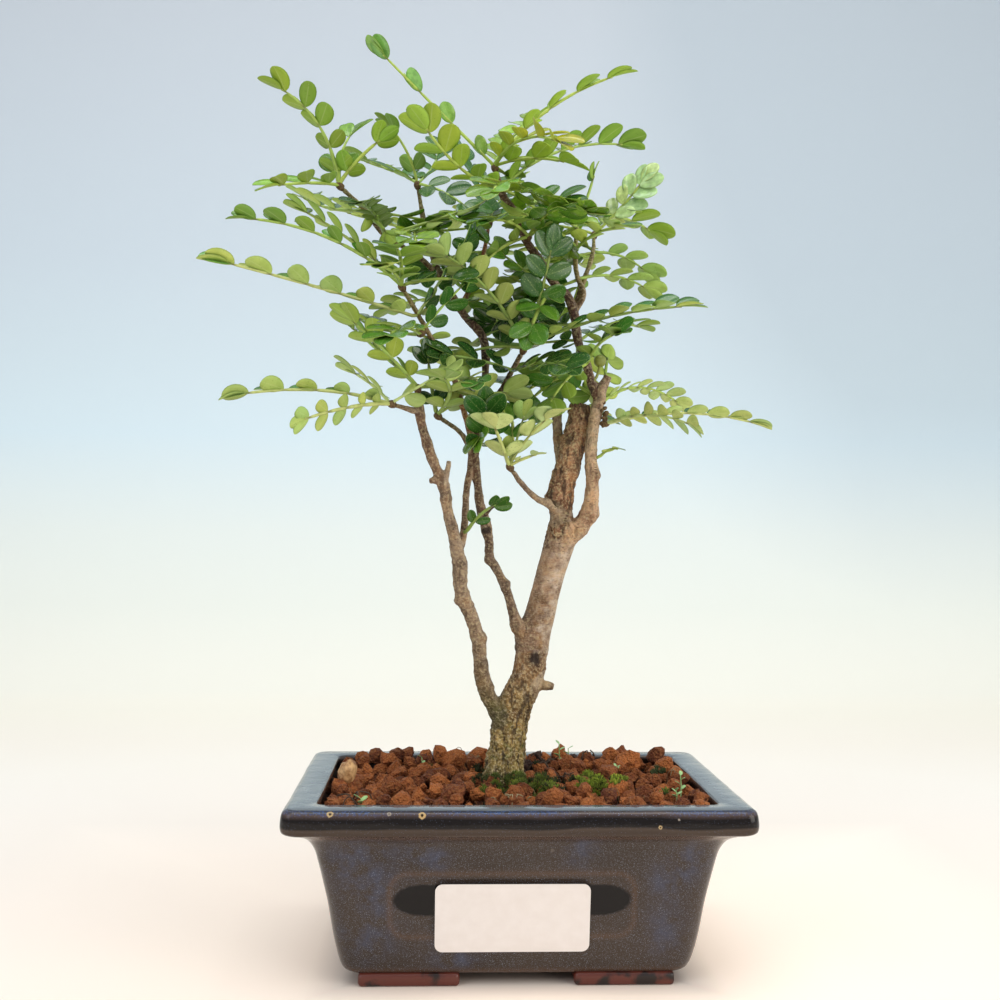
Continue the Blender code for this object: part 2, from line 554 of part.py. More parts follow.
def leaf_frame(leaf, share):
    """The rib's direction, its left side and the upper face's normal at a share of its length."""
    heading = math.radians(leaf[0] + leaf[4] * share)
    way = leaf_way(leaf, share)
    left = Vector((-math.sin(heading), math.cos(heading), 0.0))
    up = way.cross(left)
    roll = math.radians(leaf[5])
    return way, left * math.cos(roll) + up * math.sin(roll), up * math.cos(roll) - left * math.sin(roll)


def rib_point(base, leaf, along):
    """The point of the rib at a distance from the bud."""
    pieces = 12
    spot = base.copy()
    for i in range(pieces):
        spot += leaf_way(leaf, (i + 0.5) / pieces * along / leaf[2]) * (along / pieces)
    return spot


def leaf_surface(base, leaf, start):
    """The middle surface of one leaf, from a distance along its rib to its tip, as points and triangles."""
    length = leaf[2]
    leaflet = min(LEAFLET_LENGTH, length * 0.36)
    rib_end = length - leaflet * 0.9
    first = max(min(PETIOLE, length * 0.25), start + ROOT_HALF + 0.1)
    pairs = max(2, round((rib_end - first) / LEAF_STEP) + 1)
    step = (rib_end - 3.2 - first) / (pairs - 1)
    width = min(LEAFLET_WIDTH, 0.62 * leaflet, step * math.sin(math.radians(LEAFLET_LEAN)) - 0.7)
    lean, fold = math.radians(LEAFLET_LEAN), math.radians(leaf[6])
    stops = [start]
    for i in range(pairs):
        stops += [first + i * step - ROOT_HALF, first + i * step + ROOT_HALF]
    stops.append(rib_end)
    points, faces = [], []
    for along in stops:
        spot = rib_point(base, leaf, along)
        _, left, _ = leaf_frame(leaf, along / length)
        points += [spot + left * RIB_HALF, spot - left * RIB_HALF]
    for i in range(len(stops) - 1):
        a, b, c, d = 2 * i, 2 * i + 1, 2 * i + 3, 2 * i + 2
        faces += [(a, b, c), (a, c, d)]

    def add_leaflet(root_a, root_b, axis, across, size):
        """One leaflet on the rib's edge from root_a to root_b, with across pointing to root_a's side."""
        middle = (points[root_a] + points[root_b]) / 2
        outline = [(0.42, 0.5), (0.88, 0.3), (0.88, -0.3), (0.42, -0.5)]
        first_new = len(points)
        for out, over in outline:
            points.append(middle + axis * leaflet * size * out + across * width * size * over)
        a, b, c, d = range(first_new, first_new + 4)
        faces.extend([(root_a, root_b, d), (root_a, d, a), (a, d, c), (a, c, b)])

    for i in range(pairs):
        along = first + i * step
        way, left, up = leaf_frame(leaf, along / length)
        size = 0.82 + 0.2 * (i + 1) / pairs
        low, high = 2 + 4 * i, 4 + 4 * i
        for side in (1, -1):
            flat = left * side * math.cos(fold) + up * math.sin(fold)
            axis = way * math.cos(lean) + flat * math.sin(lean)
            across = flat * math.cos(lean) - way * math.sin(lean)
            if side > 0:
                add_leaflet(low, high, axis, across, size)
            else:
                add_leaflet(high + 1, low + 1, axis, -across, size)
    way, left, up = leaf_frame(leaf, rib_end / length)
    end = 2 * (len(stops) - 1)
    add_leaflet(end, end + 1, way, left, 1.0)
    return points, faces


def thicken(points, faces, half):
    """A closed blade about a middle surface, with the same triangles on both faces."""
    normals = [Vector() for _ in points]
    edges = {}
    for face in faces:
        a, b, c = (points[i] for i in face)
        normal = (b - a).cross(c - a)
        for i in face:
            normals[i] += normal
        for i, j in zip(face, face[1:] + face[:1]):
            edges[(i, j)] = face
    count = len(points)
    shifts = [n.normalized() * half for n in normals]
    solid = [p + s for p, s in zip(points, shifts)] + [p - s for p, s in zip(points, shifts)]
    shell = list(faces) + [(c + count, b + count, a + count) for a, b, c in faces]
    for i, j in edges:
        if (j, i) not in edges:
            shell += [(j, i, i + count), (j, i + count, j + count)]
    return solid, shell


def search_tree(points, faces):
    """A tree that finds where solids cross."""
    return BVHTree.FromPolygons([tuple(p) for p in points], faces)


def bends():
    """Turns and lifts to try for a leaf, from none to the largest."""
    yield 0.0, 0.0
    for reach in BEND_REACHES:
        for eighth in range(8):
            angle = math.radians(45 * eighth)
            yield reach * math.cos(angle), reach * math.sin(angle)


def bud_shape(bud, out, size):
    """An eight-sided bud with one corner pointing out from the stem and one back at it."""
    across = out.orthogonal().normalized()
    other = out.cross(across)
    ends = [across, other, -across, -other, out, -out]
    sides = [(i, (i + 1) % 4) for i in range(4)]
    return [bud + end * size for end in ends], [(i, j, 4) for i, j in sides] + [(j, i, 5) for i, j in sides]


def place_leaves():
    """Gives each spray its bud and its leaves, each bent a little where it would cross another or wood."""
    wood = [search_tree(*tube(route, sides, swell=GAP)) for sides, route in STEMS.values()]
    buds = {}
    for name, (stem, share, _, leaves) in SPRAYS.items():
        spot, way, radius = stem_at(stem, share)
        mean = sum((leaf_way(leaf, 0.0) for leaf in leaves), Vector())
        at_end = share > 0.99
        out = way if at_end else (mean - way * mean.dot(way)).normalized()
        size = BUD_RADIUS if len(leaves) > 1 else 0.0
        buds[name] = (spot + out * (radius * (END_DOME if at_end else 1.0) + size + GAP), out)
    guards = {name: search_tree(*bud_shape(*place, BUD_RADIUS + GAP)) for name, place in buds.items()}
    blocked, placed = [], {}
    for name, (_, _, colour, leaves) in SPRAYS.items():
        bud, out = buds[name]
        others = [guard for key, guard in guards.items() if key != name]
        own, own_far, bent_leaves = [], [], []
        for leaf in leaves:
            for turn, lift in bends():
                bent = (leaf[0] + turn, leaf[1] + lift) + leaf[2:]
                whole, past_stem, past_bud = (
                    search_tree(*thicken(*leaf_surface(bud, bent, start), CLEAR_HALF))
                    for start in (0.0, CLEAR_FROM, OWN_CLEAR_FROM)
                )
                crossed = any(past_stem.overlap(tree) for tree in wood)
                crossed = crossed or any(whole.overlap(tree) for tree in blocked + others)
                crossed = crossed or any(past_bud.overlap(tree) for tree in own_far)
                if not crossed:
                    break
            own.append(whole)
            own_far.append(past_bud)
            bent_leaves.append(bent)
        blocked += own
        placed[name] = (bud, out, colour, bent_leaves)
    return placed


def make_spray(name, bud, out, leaves, material):
    """One spray as one solid: a lone leaf, or the leaves of one bud joined to it."""
    shapes = [thicken(*leaf_surface(bud, leaf, 0.0), BLADE_HALF) for leaf in leaves]
    blades = [add_solid("leaf", *shape, material) for shape in shapes]
    if len(blades) == 1:
        blades[0].name = name
        return
    spray = add_solid(name, *bud_shape(bud, out, BUD_RADIUS), material)
    combine(spray, blades, "UNION")
    tidy_mesh(spray)


def build():
    clear_scene()
    glaze = make_material("glazed_stoneware", (0.055, 0.052, 0.055), 0.25)
    clay = make_material("fired_clay_granules", (0.27, 0.075, 0.028), 0.95)
    bark = make_material("bark", (0.36, 0.24, 0.15), 0.85)
    paper = make_material("label_paper", (0.85, 0.85, 0.83), 0.5)
    net = make_material("black_net", (0.02, 0.02, 0.02), 0.5)
    leaves = {
        "dark": make_material("leaf_dark", (0.022, 0.115, 0.025), 0.35),
        "green": make_material("leaf_green", (0.07, 0.22, 0.03), 0.4),
        "bright": make_material("leaf_bright", (0.2, 0.42, 0.04), 0.4),
        "light": make_material("leaf_light", (0.3, 0.42, 0.11), 0.45),
    }
    make_pot(glaze)
    make_drain_mesh("drain_mesh_left", -DRAIN_X, net)
    make_drain_mesh("drain_mesh_right", DRAIN_X, net)
    make_soil(clay)
    make_label(paper)
    make_wood(bark)
    for name, (bud, out, colour, bent_leaves) in place_leaves().items():
        make_spray("spray_" + name, bud, out, bent_leaves, leaves[colour])


build()
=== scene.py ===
import math
import random

import bpy
import numpy as np
from mathutils import Euler, Matrix, Vector, noise
from mathutils.bvhtree import BVHTree
from mathutils.kdtree import KDTree


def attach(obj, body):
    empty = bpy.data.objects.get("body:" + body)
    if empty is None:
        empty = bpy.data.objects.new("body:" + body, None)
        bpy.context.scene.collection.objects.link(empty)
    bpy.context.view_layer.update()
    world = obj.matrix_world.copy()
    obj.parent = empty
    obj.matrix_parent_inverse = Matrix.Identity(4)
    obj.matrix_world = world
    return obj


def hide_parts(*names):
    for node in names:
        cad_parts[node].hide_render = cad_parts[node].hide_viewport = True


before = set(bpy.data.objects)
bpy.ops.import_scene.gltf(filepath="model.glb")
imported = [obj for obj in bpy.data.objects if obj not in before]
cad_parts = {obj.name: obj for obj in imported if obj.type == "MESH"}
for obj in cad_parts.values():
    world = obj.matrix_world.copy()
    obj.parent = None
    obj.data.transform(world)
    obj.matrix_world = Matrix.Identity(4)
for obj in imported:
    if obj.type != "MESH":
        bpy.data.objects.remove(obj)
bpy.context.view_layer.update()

# ---- Camera
# A compact camera half a metre in front of the pot and level with the middle of the trunk. It looks a
# little upwards and a little to the right.
MM = 0.001
POT_CENTRE = Vector((3.2, 7.1, 0.0))
CAMERA_SPOT = Vector((-27.04, -455.71, 148.66))
CAMERA_YAW, CAMERA_PITCH, CAMERA_ROLL = -0.0475, 0.0271, 0.0099

camera_lens = bpy.data.cameras.new("photo_camera")
camera_lens.sensor_width = 36.0
camera_lens.lens = 45.32
camera_lens.clip_start = 0.01
camera = bpy.data.objects.new("photo_camera", camera_lens)
bpy.context.scene.collection.objects.link(camera)
camera.matrix_world = (
    Matrix.Translation((POT_CENTRE + CAMERA_SPOT) * MM)
    @ Matrix.Rotation(CAMERA_YAW, 4, "Z")
    @ Matrix.Rotation(math.pi / 2 + CAMERA_PITCH, 4, "X")
    @ Matrix.Rotation(CAMERA_ROLL, 4, "Z")
)
bpy.context.scene.camera = camera


# ---- Pot
# A rectangular tray of stoneware with a wide lip, thick dark glaze and four feet of bare clay. It is cast
# in one piece, glazed down to the feet and fired, so the glaze pools in the panels and breaks on edges.
DEPTH_LESS = 20.3
POT_OUTER = [
    (53.0, 3.2, 6.0), (57.2, 4.2, 7.5), (58.9, 7.5, 8.0), (60.6, 15.0, 8.0), (62.8, 28.0, 8.0),
    (65.6, 41.0, 8.0), (67.0, 46.0, 8.0), (69.4, 49.8, 7.0), (73.0, 52.0, 5.5), (75.6, 53.0, 4.5),
    (76.4, 54.6, 4.0), (76.4, 57.4, 4.0), (75.8, 60.0, 4.0), (74.2, 61.0, 4.0),
]
POT_INNER = [
    (66.4, 61.0, 4.0), (65.4, 60.2, 4.0), (65.0, 57.0, 4.0), (62.9, 48.0, 5.0), (55.8, 16.0, 5.0),
    (52.8, 12.0, 5.0),
]
FOOT_SIZE = (33.3, 17.0, 4.4)
FOOT_CENTRE = (35.6, 30.0)
DRAIN_RADIUS, DRAIN_X = 7.5, 27.0
PANEL_SIZE, PANEL_CENTRE, PANEL_CORNER, PANEL_DEPTH = (80.0, 21.5), (-2.0, 27.7), 6.0, 0.8


def hex_colour(code):
    """A linear colour from an sRGB hex code."""
    parts = [int(code[i:i + 2], 16) / 255 for i in (1, 3, 5)]
    return tuple(p / 12.92 if p <= 0.04045 else ((p + 0.055) / 1.055) ** 2.4 for p in parts) + (1.0,)


def add_node(tree, kind, inputs=None, **settings):
    """A shader node with its settings, and its sockets set to values or linked to other nodes' sockets."""
    made = tree.nodes.new("ShaderNode" + kind)
    for key, value in settings.items():
        setattr(made, key, value)
    for key, value in (inputs or {}).items():
        if isinstance(value, bpy.types.NodeSocket):
            tree.links.new(value, made.inputs[key])
        else:
            made.inputs[key].default_value = value
    return made


def new_material(name, roughness=0.5, **values):
    """A Principled material, with its tree, its shader and the piece's own coordinates."""
    material = bpy.data.materials.new(name)
    material.use_nodes = True
    tree = material.node_tree
    shader = tree.nodes["Principled BSDF"]
    shader.inputs["Roughness"].default_value = roughness
    for key, value in values.items():
        shader.inputs[key.replace("_", " ")].default_value = value
    return material, tree, shader, add_node(tree, "TexCoord").outputs["Object"]


def catmull(points, pieces):
    """A smooth run through the points, as tuples."""
    run = []
    for i in range(len(points) - 1):
        four = [np.array(points[max(min(i + k, len(points) - 1), 0)], float) for k in (-1, 0, 1, 2)]
        a, b, c, d = four
        for step in range(pieces):
            t = step / pieces
            run.append(0.5 * (2 * b + (c - a) * t + (2 * a - 5 * b + 4 * c - d) * t * t
                              + (3 * b - a - 3 * c + d) * t ** 3))
    return run + [np.array(points[-1], float)]


def pot_ring(half_x, z, corner):
    """The pot's plan at a height: straight sides in short steps, and round corners."""
    half_y = half_x - DEPTH_LESS
    ring = []
    for quarter, (side_x, side_y) in enumerate([(1, 1), (-1, 1), (-1, -1), (1, -1)]):
        for step in range(9):
            turn = math.radians(90 * (quarter + step / 8))
            ring.append((side_x * (half_x - corner) + corner * math.cos(turn),
                         side_y * (half_y - corner) + corner * math.sin(turn), z))
        steps = (64, 44)[quarter % 2]
        start = ring[-1]
        ahead = [(-1, 1), (-1, -1), (1, -1), (1, 1)][quarter]
        turn = math.radians(90 * (quarter + 1))
        end = (ahead[0] * (half_x - corner) + corner * math.cos(turn),
               ahead[1] * (half_y - corner) + corner * math.sin(turn))
        for step in range(1, steps):
            t = step / steps
            ring.append((start[0] + (end[0] - start[0]) * t, start[1] + (end[1] - start[1]) * t, z))
    return ring


def panel_depth(x, z):
    """How deep the shallow panel is at a place of the wall, and how near its edge is, from 0 to 1."""
    over_x = abs(x - PANEL_CENTRE[0]) - (PANEL_SIZE[0] / 2 - PANEL_CORNER)
    over_z = abs(z - PANEL_CENTRE[1]) - (PANEL_SIZE[1] / 2 - PANEL_CORNER)
    out = math.hypot(max(over_x, 0), max(over_z, 0)) + min(max(over_x, over_z), 0) - PANEL_CORNER
    share = min(max(-out / 2.6 + 0.3, 0.0), 1.0)
    return PANEL_DEPTH * share * share * (3 - 2 * share), math.exp(-((out + 0.2) / 1.1) ** 2)


def add_mesh(name, points, faces, materials):
    """An object at the origin from points in millimetres about the pot's centre."""
    mesh = bpy.data.meshes.new(name)
    mesh.from_pydata([((p[0] + POT_CENTRE.x) * MM, (p[1] + POT_CENTRE.y) * MM, p[2] * MM) for p in points], [], faces)
    for material in materials:
        mesh.materials.append(material)
    piece = bpy.data.objects.new(name, mesh)
    bpy.context.scene.collection.objects.link(piece)
    return piece


def pick(*things):
    """Selects these objects alone, the first as the active one."""
    bpy.ops.object.select_all(action="DESELECT")
    for thing in things:
        thing.select_set(True)
    bpy.context.view_layer.objects.active = things[0]


def add_modifier(piece, kind, **settings):
    """Adds a modifier and applies it."""
    pick(piece)
    step = piece.modifiers.new(kind, kind)
    for key, value in settings.items():
        setattr(step, key, value)
    bpy.ops.object.modifier_apply(modifier=step.name)


def settle(piece, name, slot, *nodes):
    """Puts the piece's place into its mesh and hands it to the frame."""
    piece.name = piece.data.name = name
    pick(piece)
    bpy.ops.object.transform_apply(location=True, rotation=True, scale=True)
    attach(piece, "root")
    if nodes:
        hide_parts(*nodes)


def store(piece, name, values, kind="FLOAT"):
    """Keeps a number or a colour for each point of the piece."""
    layer = piece.data.attributes.new(name, kind, "POINT")
    layer.data.foreach_set("value" if kind == "FLOAT" else "color", np.array(values, float).ravel())


# Glazed stoneware: a thick oil-spot glaze, dark and glassy, that shows fine pale spots, blue clouds and brown where
# it runs thin over an edge. Its colour also holds painted shade in the panel's recess, a painted sky reflection on
# the lip's top, a black painted reflection down the lip's face and painted highlights along the lip's edges.
glaze, tree, shader, spot = new_material("glazed_stoneware", IOR=1.36)
cloud = add_node(tree, "TexNoise", {"Vector": spot, "Scale": 30.0, "Detail": 4.0}).outputs["Fac"]
fine = add_node(tree, "TexNoise", {"Vector": spot, "Scale": 1300.0, "Detail": 3.0}).outputs["Fac"]
dots = add_node(tree, "TexVoronoi", {"Vector": spot, "Scale": 1500.0}).outputs["Distance"]
dust = add_node(tree, "TexVoronoi", {"Vector": spot, "Scale": 2500.0}).outputs["Distance"]
dot = add_node(tree, "MapRange", {0: dots, 1: 0.21, 2: 0.1, 3: 0.0, 4: 0.5}).outputs[0]
speck = add_node(tree, "MapRange", {0: dust, 1: 0.42, 2: 0.15, 3: 0.0, 4: 0.42}).outputs[0]
grain = add_node(tree, "MapRange", {0: fine, 1: 0.42, 2: 0.58, 3: 0.0, 4: 1.0}).outputs[0]
patch = add_node(tree, "Attribute", attribute_name="blue_patch").outputs["Fac"]
wisps = add_node(tree, "TexNoise", {"Vector": spot, "Scale": 150.0, "Detail": 6.0, "Roughness": 0.65}).outputs["Fac"]
wisp = add_node(tree, "MapRange", {0: wisps, 1: 0.4, 2: 0.68, 3: 0.0, 4: 0.5}).outputs[0]
blue_spots = add_node(tree, "Math", {0: patch, 1: wisp}, operation="MULTIPLY").outputs[0]
body = add_node(tree, "Mix", {0: cloud, 6: hex_colour("#2b2420"), 7: hex_colour("#463b33")}, data_type="RGBA")
tinted = add_node(tree, "Mix", {0: blue_spots, 6: body.outputs[2], 7: hex_colour("#4a5c80")}, data_type="RGBA")
thin = add_node(tree, "Attribute", attribute_name="thin_glaze").outputs["Fac"]
place = add_node(tree, "SeparateXYZ", {0: spot})
# The panel: how far a place is outside of its rounded outline, and the black band of painted shade along its middle.
beside = add_node(tree, "Math", {0: place.outputs[0], 1: (PANEL_CENTRE[0] + POT_CENTRE.x) * MM}, operation="SUBTRACT")
beside = add_node(tree, "Math", {0: beside.outputs[0]}, operation="ABSOLUTE").outputs[0]
above = add_node(tree, "Math", {0: place.outputs[2], 1: PANEL_CENTRE[1] * MM}, operation="SUBTRACT")
above = add_node(tree, "Math", {0: above.outputs[0]}, operation="ABSOLUTE").outputs[0]
corner_x = add_node(tree, "Math", {0: beside, 1: (PANEL_SIZE[0] / 2 - PANEL_CORNER) * MM}, operation="SUBTRACT")
corner_x = add_node(tree, "Math", {0: corner_x.outputs[0], 1: 0.0}, operation="MAXIMUM").outputs[0]
corner_z = add_node(tree, "Math", {0: above, 1: (PANEL_SIZE[1] / 2 - PANEL_CORNER) * MM}, operation="SUBTRACT")
corner_z = add_node(tree, "Math", {0: corner_z.outputs[0], 1: 0.0}, operation="MAXIMUM").outputs[0]
to_corner = add_node(tree, "CombineXYZ", {0: corner_x, 1: corner_z}).outputs[0]
outline = add_node(tree, "VectorMath", {0: to_corner}, operation="LENGTH").outputs["Value"]
outline = add_node(tree, "Math", {0: outline, 1: PANEL_CORNER * MM}, operation="SUBTRACT").outputs[0]
outline = add_node(tree, "Math", {0: outline}, operation="ABSOLUTE").outputs[0]
outline = add_node(tree, "MapRange", {0: outline, 1: 0.0016, 2: 0.0001, 3: 0.0, 4: 0.5}).outputs[0]
# Painted shade: a black band along the middle of the panel's recess, where it lies in shadow.
panel_shade_end = add_node(tree, "MapRange", {0: beside, 1: 0.029, 2: 0.041, 3: 0.0, 4: 1.2}).outputs[0]
panel_shade_side = add_node(tree, "Math", {0: cloud, 1: 0.002, 2: place.outputs[2]}, operation="MULTIPLY_ADD").outputs[0]
panel_shade_side = add_node(tree, "Math", {0: panel_shade_side, 1: 0.0304}, operation="SUBTRACT").outputs[0]
panel_shade_side = add_node(tree, "Math", {0: panel_shade_side, 1: 0.0052}, operation="DIVIDE").outputs[0]
panel_shade_place = add_node(tree, "CombineXYZ", {0: panel_shade_end, 1: panel_shade_side}).outputs[0]
panel_shade_reach = add_node(tree, "VectorMath", {0: panel_shade_place}, operation="LENGTH").outputs["Value"]
panel_shade_reach = add_node(tree, "Math", {0: fine, 1: 0.16, 2: panel_shade_reach}, operation="MULTIPLY_ADD").outputs[0]
panel_shade = add_node(tree, "MapRange", {0: panel_shade_reach, 1: 1.14, 2: 1.0, 3: 0.0, 4: 1.0}).outputs[0]
panel = add_node(tree, "Attribute", attribute_name="panel_wall").outputs["Fac"]
panel_shade = add_node(tree, "Math", {0: panel_shade, 1: panel}, operation="MULTIPLY").outputs[0]
outline = add_node(tree, "Math", {0: outline, 1: panel}, operation="MULTIPLY").outputs[0]
thin = add_node(tree, "Math", {0: thin, 1: outline}, operation="MAXIMUM").outputs[0]
broken = add_node(tree, "Mix", {0: thin, 6: tinted.outputs[2], 7: hex_colour("#594334")}, data_type="RGBA")
spotted = add_node(tree, "Mix", {0: speck, 6: broken.outputs[2], 7: hex_colour("#6e727c")}, data_type="RGBA")
dotted = add_node(tree, "Mix", {0: dot, 6: spotted.outputs[2], 7: hex_colour("#9aa3b4")}, data_type="RGBA")
height = add_node(tree, "SeparateXYZ", {0: spot}).outputs["Z"]
uneven = add_node(tree, "Math", {0: cloud, 1: 0.003, 2: height}, operation="MULTIPLY_ADD").outputs[0]
# Painted light on the lip's face, by height: a near-black band down its middle is a painted reflection of dark
# surroundings, and the paler bands at its rounded lower and upper edges are painted highlights.
painted_lip_bands = add_node(tree, "ValToRGB")
band_place = add_node(tree, "MapRange", {0: uneven, 1: 0.053, 2: 0.063}).outputs[0]
tree.links.new(band_place, painted_lip_bands.inputs[0])
LIP_TONES_AND_REFLECTIONS = [
    (0.0, "#40352d"), (0.25, "#3c3028"), (0.37, "#463a31"), (0.44, "#120c0a"), (0.7, "#120c0a"), (0.79, "#3c302b"),
    (0.86, "#54463f"), (0.92, "#39363a"), (1.0, "#33373f"),
]
while len(painted_lip_bands.color_ramp.elements) < len(LIP_TONES_AND_REFLECTIONS):
    painted_lip_bands.color_ramp.elements.new(0.5)
for stop, (place, code) in zip(painted_lip_bands.color_ramp.elements, LIP_TONES_AND_REFLECTIONS):
    stop.position = place
    stop.color = hex_colour(code)
edge = add_node(tree, "Attribute", attribute_name="lip_edge").outputs["Fac"]
edge_spots = add_node(tree, "Math", {0: edge, 1: grain}, operation="MULTIPLY").outputs[0]
patchy = add_node(tree, "MapRange", {0: cloud, 1: 0.42, 2: 0.62, 3: 0.1, 4: 0.75}).outputs[0]
edge_spots = add_node(tree, "Math", {0: edge_spots, 1: patchy}, operation="MULTIPLY").outputs[0]
lip_blue = add_node(tree, "Mix", {0: edge_spots, 6: painted_lip_bands.outputs[0], 7: hex_colour("#3c5588")}, data_type="RGBA")
flat_top = add_node(tree, "Attribute", attribute_name="lip_top").outputs["Fac"]
# Painted reflection: the lip's flat top is coloured a cloudy pale grey-blue, standing in for the bright sky above.
painted_sky_reflection = add_node(tree, "Mix", {0: cloud, 6: hex_colour("#3f4953"), 7: hex_colour("#7c8284")}, data_type="RGBA")
lip_flat = add_node(tree, "Mix", {0: flat_top, 6: lip_blue.outputs[2], 7: painted_sky_reflection.outputs[2]}, data_type="RGBA")
lip_share = add_node(tree, "MapRange", {0: edge, 1: 0.0, 2: 0.8, 3: 0.3, 4: 1.3}).outputs[0]
lip_dots = add_node(tree, "Math", {0: dot, 1: lip_share}, operation="MULTIPLY").outputs[0]
lip_spots = add_node(tree, "Mix", {0: lip_dots, 6: lip_flat.outputs[2], 7: hex_colour("#98a6c8")}, data_type="RGBA")
lip = add_node(tree, "MapRange", {0: height, 1: 0.0522, 2: 0.0532}).outputs[0]
lipped = add_node(tree, "Mix", {0: lip, 6: dotted.outputs[2], 7: lip_spots.outputs[2]}, data_type="RGBA")
# Painted shade in the panel's recess.
panel_shaded = add_node(tree, "Mix", {0: panel_shade, 6: lipped.outputs[2], 7: hex_colour("#060609")}, data_type="RGBA")
colour = panel_shaded.outputs[2]
# Burst bubbles with a tan rim and a dark core, and one pale scuff, as (x, y, z, radius, rim, core).
BLEMISHES = [
    (-31.6, -55.7, 59.8, 1.15, "#b89a6a", "#2c1f12"), (-60.5, -55.5, 60.2, 1.05, "#b39a70", "#33251a"),
    (44.0, -56.2, 56.0, 0.6, "#b39a70", "#33251a"), (9.3, -46.6, 47.4, 0.7, "#5c544e", "#544b45"),
    (10.5, -46.6, 46.8, 0.8, "#5a524c", "#504740"),
    (50.0, -56.2, 58.5, 0.35, "#8d8378", "#8d8378"), (-42.0, -55.5, 60.2, 0.7, "#8d8378", "#6b6057"),
]
for x, y, z, wide, rim_code, core_code in BLEMISHES:
    away = add_node(tree, "VectorMath", {0: spot, 1: (Vector((x, y, z)) + POT_CENTRE) * MM}, operation="DISTANCE")
    ragged = add_node(tree, "Math", {0: fine, 1: 0.0008, 2: away.outputs["Value"]}, operation="MULTIPLY_ADD").outputs[0]
    for reach, code in ((wide + 0.4, rim_code), (wide * 0.45 + 0.4, core_code)):
        mask = add_node(tree, "MapRange", {0: ragged, 1: (reach + 0.1) * MM, 2: (reach - 0.1) * MM}).outputs[0]
        colour = add_node(tree, "Mix", {0: mask, 6: colour, 7: hex_colour(code)}, data_type="RGBA").outputs[2]
tree.links.new(colour, shader.inputs["Base Color"])
rough = add_node(tree, "MapRange", {0: fine, 3: 0.06, 4: 0.2}).outputs[0]
tree.links.new(rough, shader.inputs["Roughness"])
ripple = add_node(tree, "TexNoise", {"Vector": spot, "Scale": 130.0, "Detail": 3.0}).outputs["Fac"]
bump = add_node(tree, "Bump", {"Height": ripple, "Strength": 0.25, "Distance": 0.0007})
tree.links.new(bump.outputs[0], shader.inputs["Normal"])

# Bare stoneware: fired red clay without glaze on the feet, dull, with burnt black patches. Its red is also darkened
# as painted shade, since the feet stand in the shadow under the pot.
bare_clay, tree, shader, spot = new_material("bare_stoneware", 0.32)
patch = add_node(tree, "TexNoise", {"Vector": spot, "Scale": 120.0, "Detail": 5.0}).outputs["Fac"]
burnt = add_node(tree, "MapRange", {0: patch, 1: 0.5, 2: 0.6}).outputs[0]
clay = add_node(tree, "Mix", {0: burnt, 6: hex_colour("#5c2a20"), 7: hex_colour("#1a0f0c")}, data_type="RGBA")
tree.links.new(clay.outputs[2], shader.inputs["Base Color"])
bump = add_node(tree, "Bump", {"Height": patch, "Strength": 0.4, "Distance": 0.0004})
tree.links.new(bump.outputs[0], shader.inputs["Normal"])

levels = catmull(POT_OUTER, 5) + catmull(POT_INNER, 4)
rings = [pot_ring(*level) for level in levels]
count = len(rings[0])
points = [p for ring in rings for p in ring]
faces = []
for level in range(len(rings) - 1):
    for i in range(count):
        j = (i + 1) % count
        faces.append((level * count + i, level * count + j, (level + 1) * count + j, (level + 1) * count + i))
faces.append(tuple(range(count - 1, -1, -1)))
faces.append(tuple(range((len(rings) - 1) * count, len(rings) * count)))
outer_count = len(catmull(POT_OUTER, 5)) * count
# Clouds of blue in the front wall's glaze, as (x, z, size).
BLUE_CLOUDS = [
    (-33.0, 46.5, 7.0), (-47.0, 46.0, 5.0), (-47.0, 34.0, 7.0), (-55.0, 42.0, 8.0), (-27.0, 43.0, 4.0), (-48.0, 18.0, 9.0),
    (50.0, 36.0, 7.0), (57.0, 45.0, 6.0), (48.0, 18.0, 7.0), (-20.0, 10.0, 8.0), (20.0, 46.0, 6.0),
]
thin_glaze, panel_wall, lip_edge, lip_top, blue_patch, shaped = [], [], [], [], [], []
for i, (x, y, z) in enumerate(points):
    thin, panel_shade, edge_top, flat_top, cloudy = 0.0, 0.0, 0.0, 0.0, 0.0
    if i < outer_count:
        wall = abs(y) > np.interp(z, [p[1] for p in POT_OUTER], [p[0] - DEPTH_LESS for p in POT_OUTER]) - 0.5
        if wall and z < 50 and abs(x) < 55:
            deep, near = panel_depth(x, z)
            y -= math.copysign(deep, y)
            thin = 0.25 * near
            # The panel wall, where the painted shade and the panel's thin outline go.
            panel_shade = 1.0
        edge_top = math.exp(-((z - 60.3) / 0.7) ** 2)
        cloudy = sum(math.exp(-((x - u) ** 2 + (z - v) ** 2) / (size * size)) for u, v, size in BLUE_CLOUDS)
        thin = max(thin, 0.9 * math.exp(-((z - 52.2) / 1.3) ** 2), 0.7 * math.exp(-((z - 4.4) / 1.4) ** 2))
    flat_top = 1.0 if z > 60.9 else 0.0
    wave = noise.noise(Vector((x, y, z)) / 34.0) * 0.3 + noise.noise(Vector((x, y, z)) / 11.0) * 0.1
    wave *= 1.0 if z > 6.0 else 0.0
    shaped.append((x + math.copysign(wave, x), y + math.copysign(wave, y), z + 0.5 * wave))
    thin_glaze.append(thin)
    panel_wall.append(panel_shade)
    lip_edge.append(edge_top)
    lip_top.append(flat_top)
    blue_patch.append(min(0.8 * cloudy, 0.8))
pot = add_mesh("pot_body", shaped, faces, [glaze])
store(pot, "thin_glaze", thin_glaze)
store(pot, "panel_wall", panel_wall)
store(pot, "lip_edge", lip_edge)
store(pot, "lip_top", lip_top)
store(pot, "blue_patch", blue_patch)

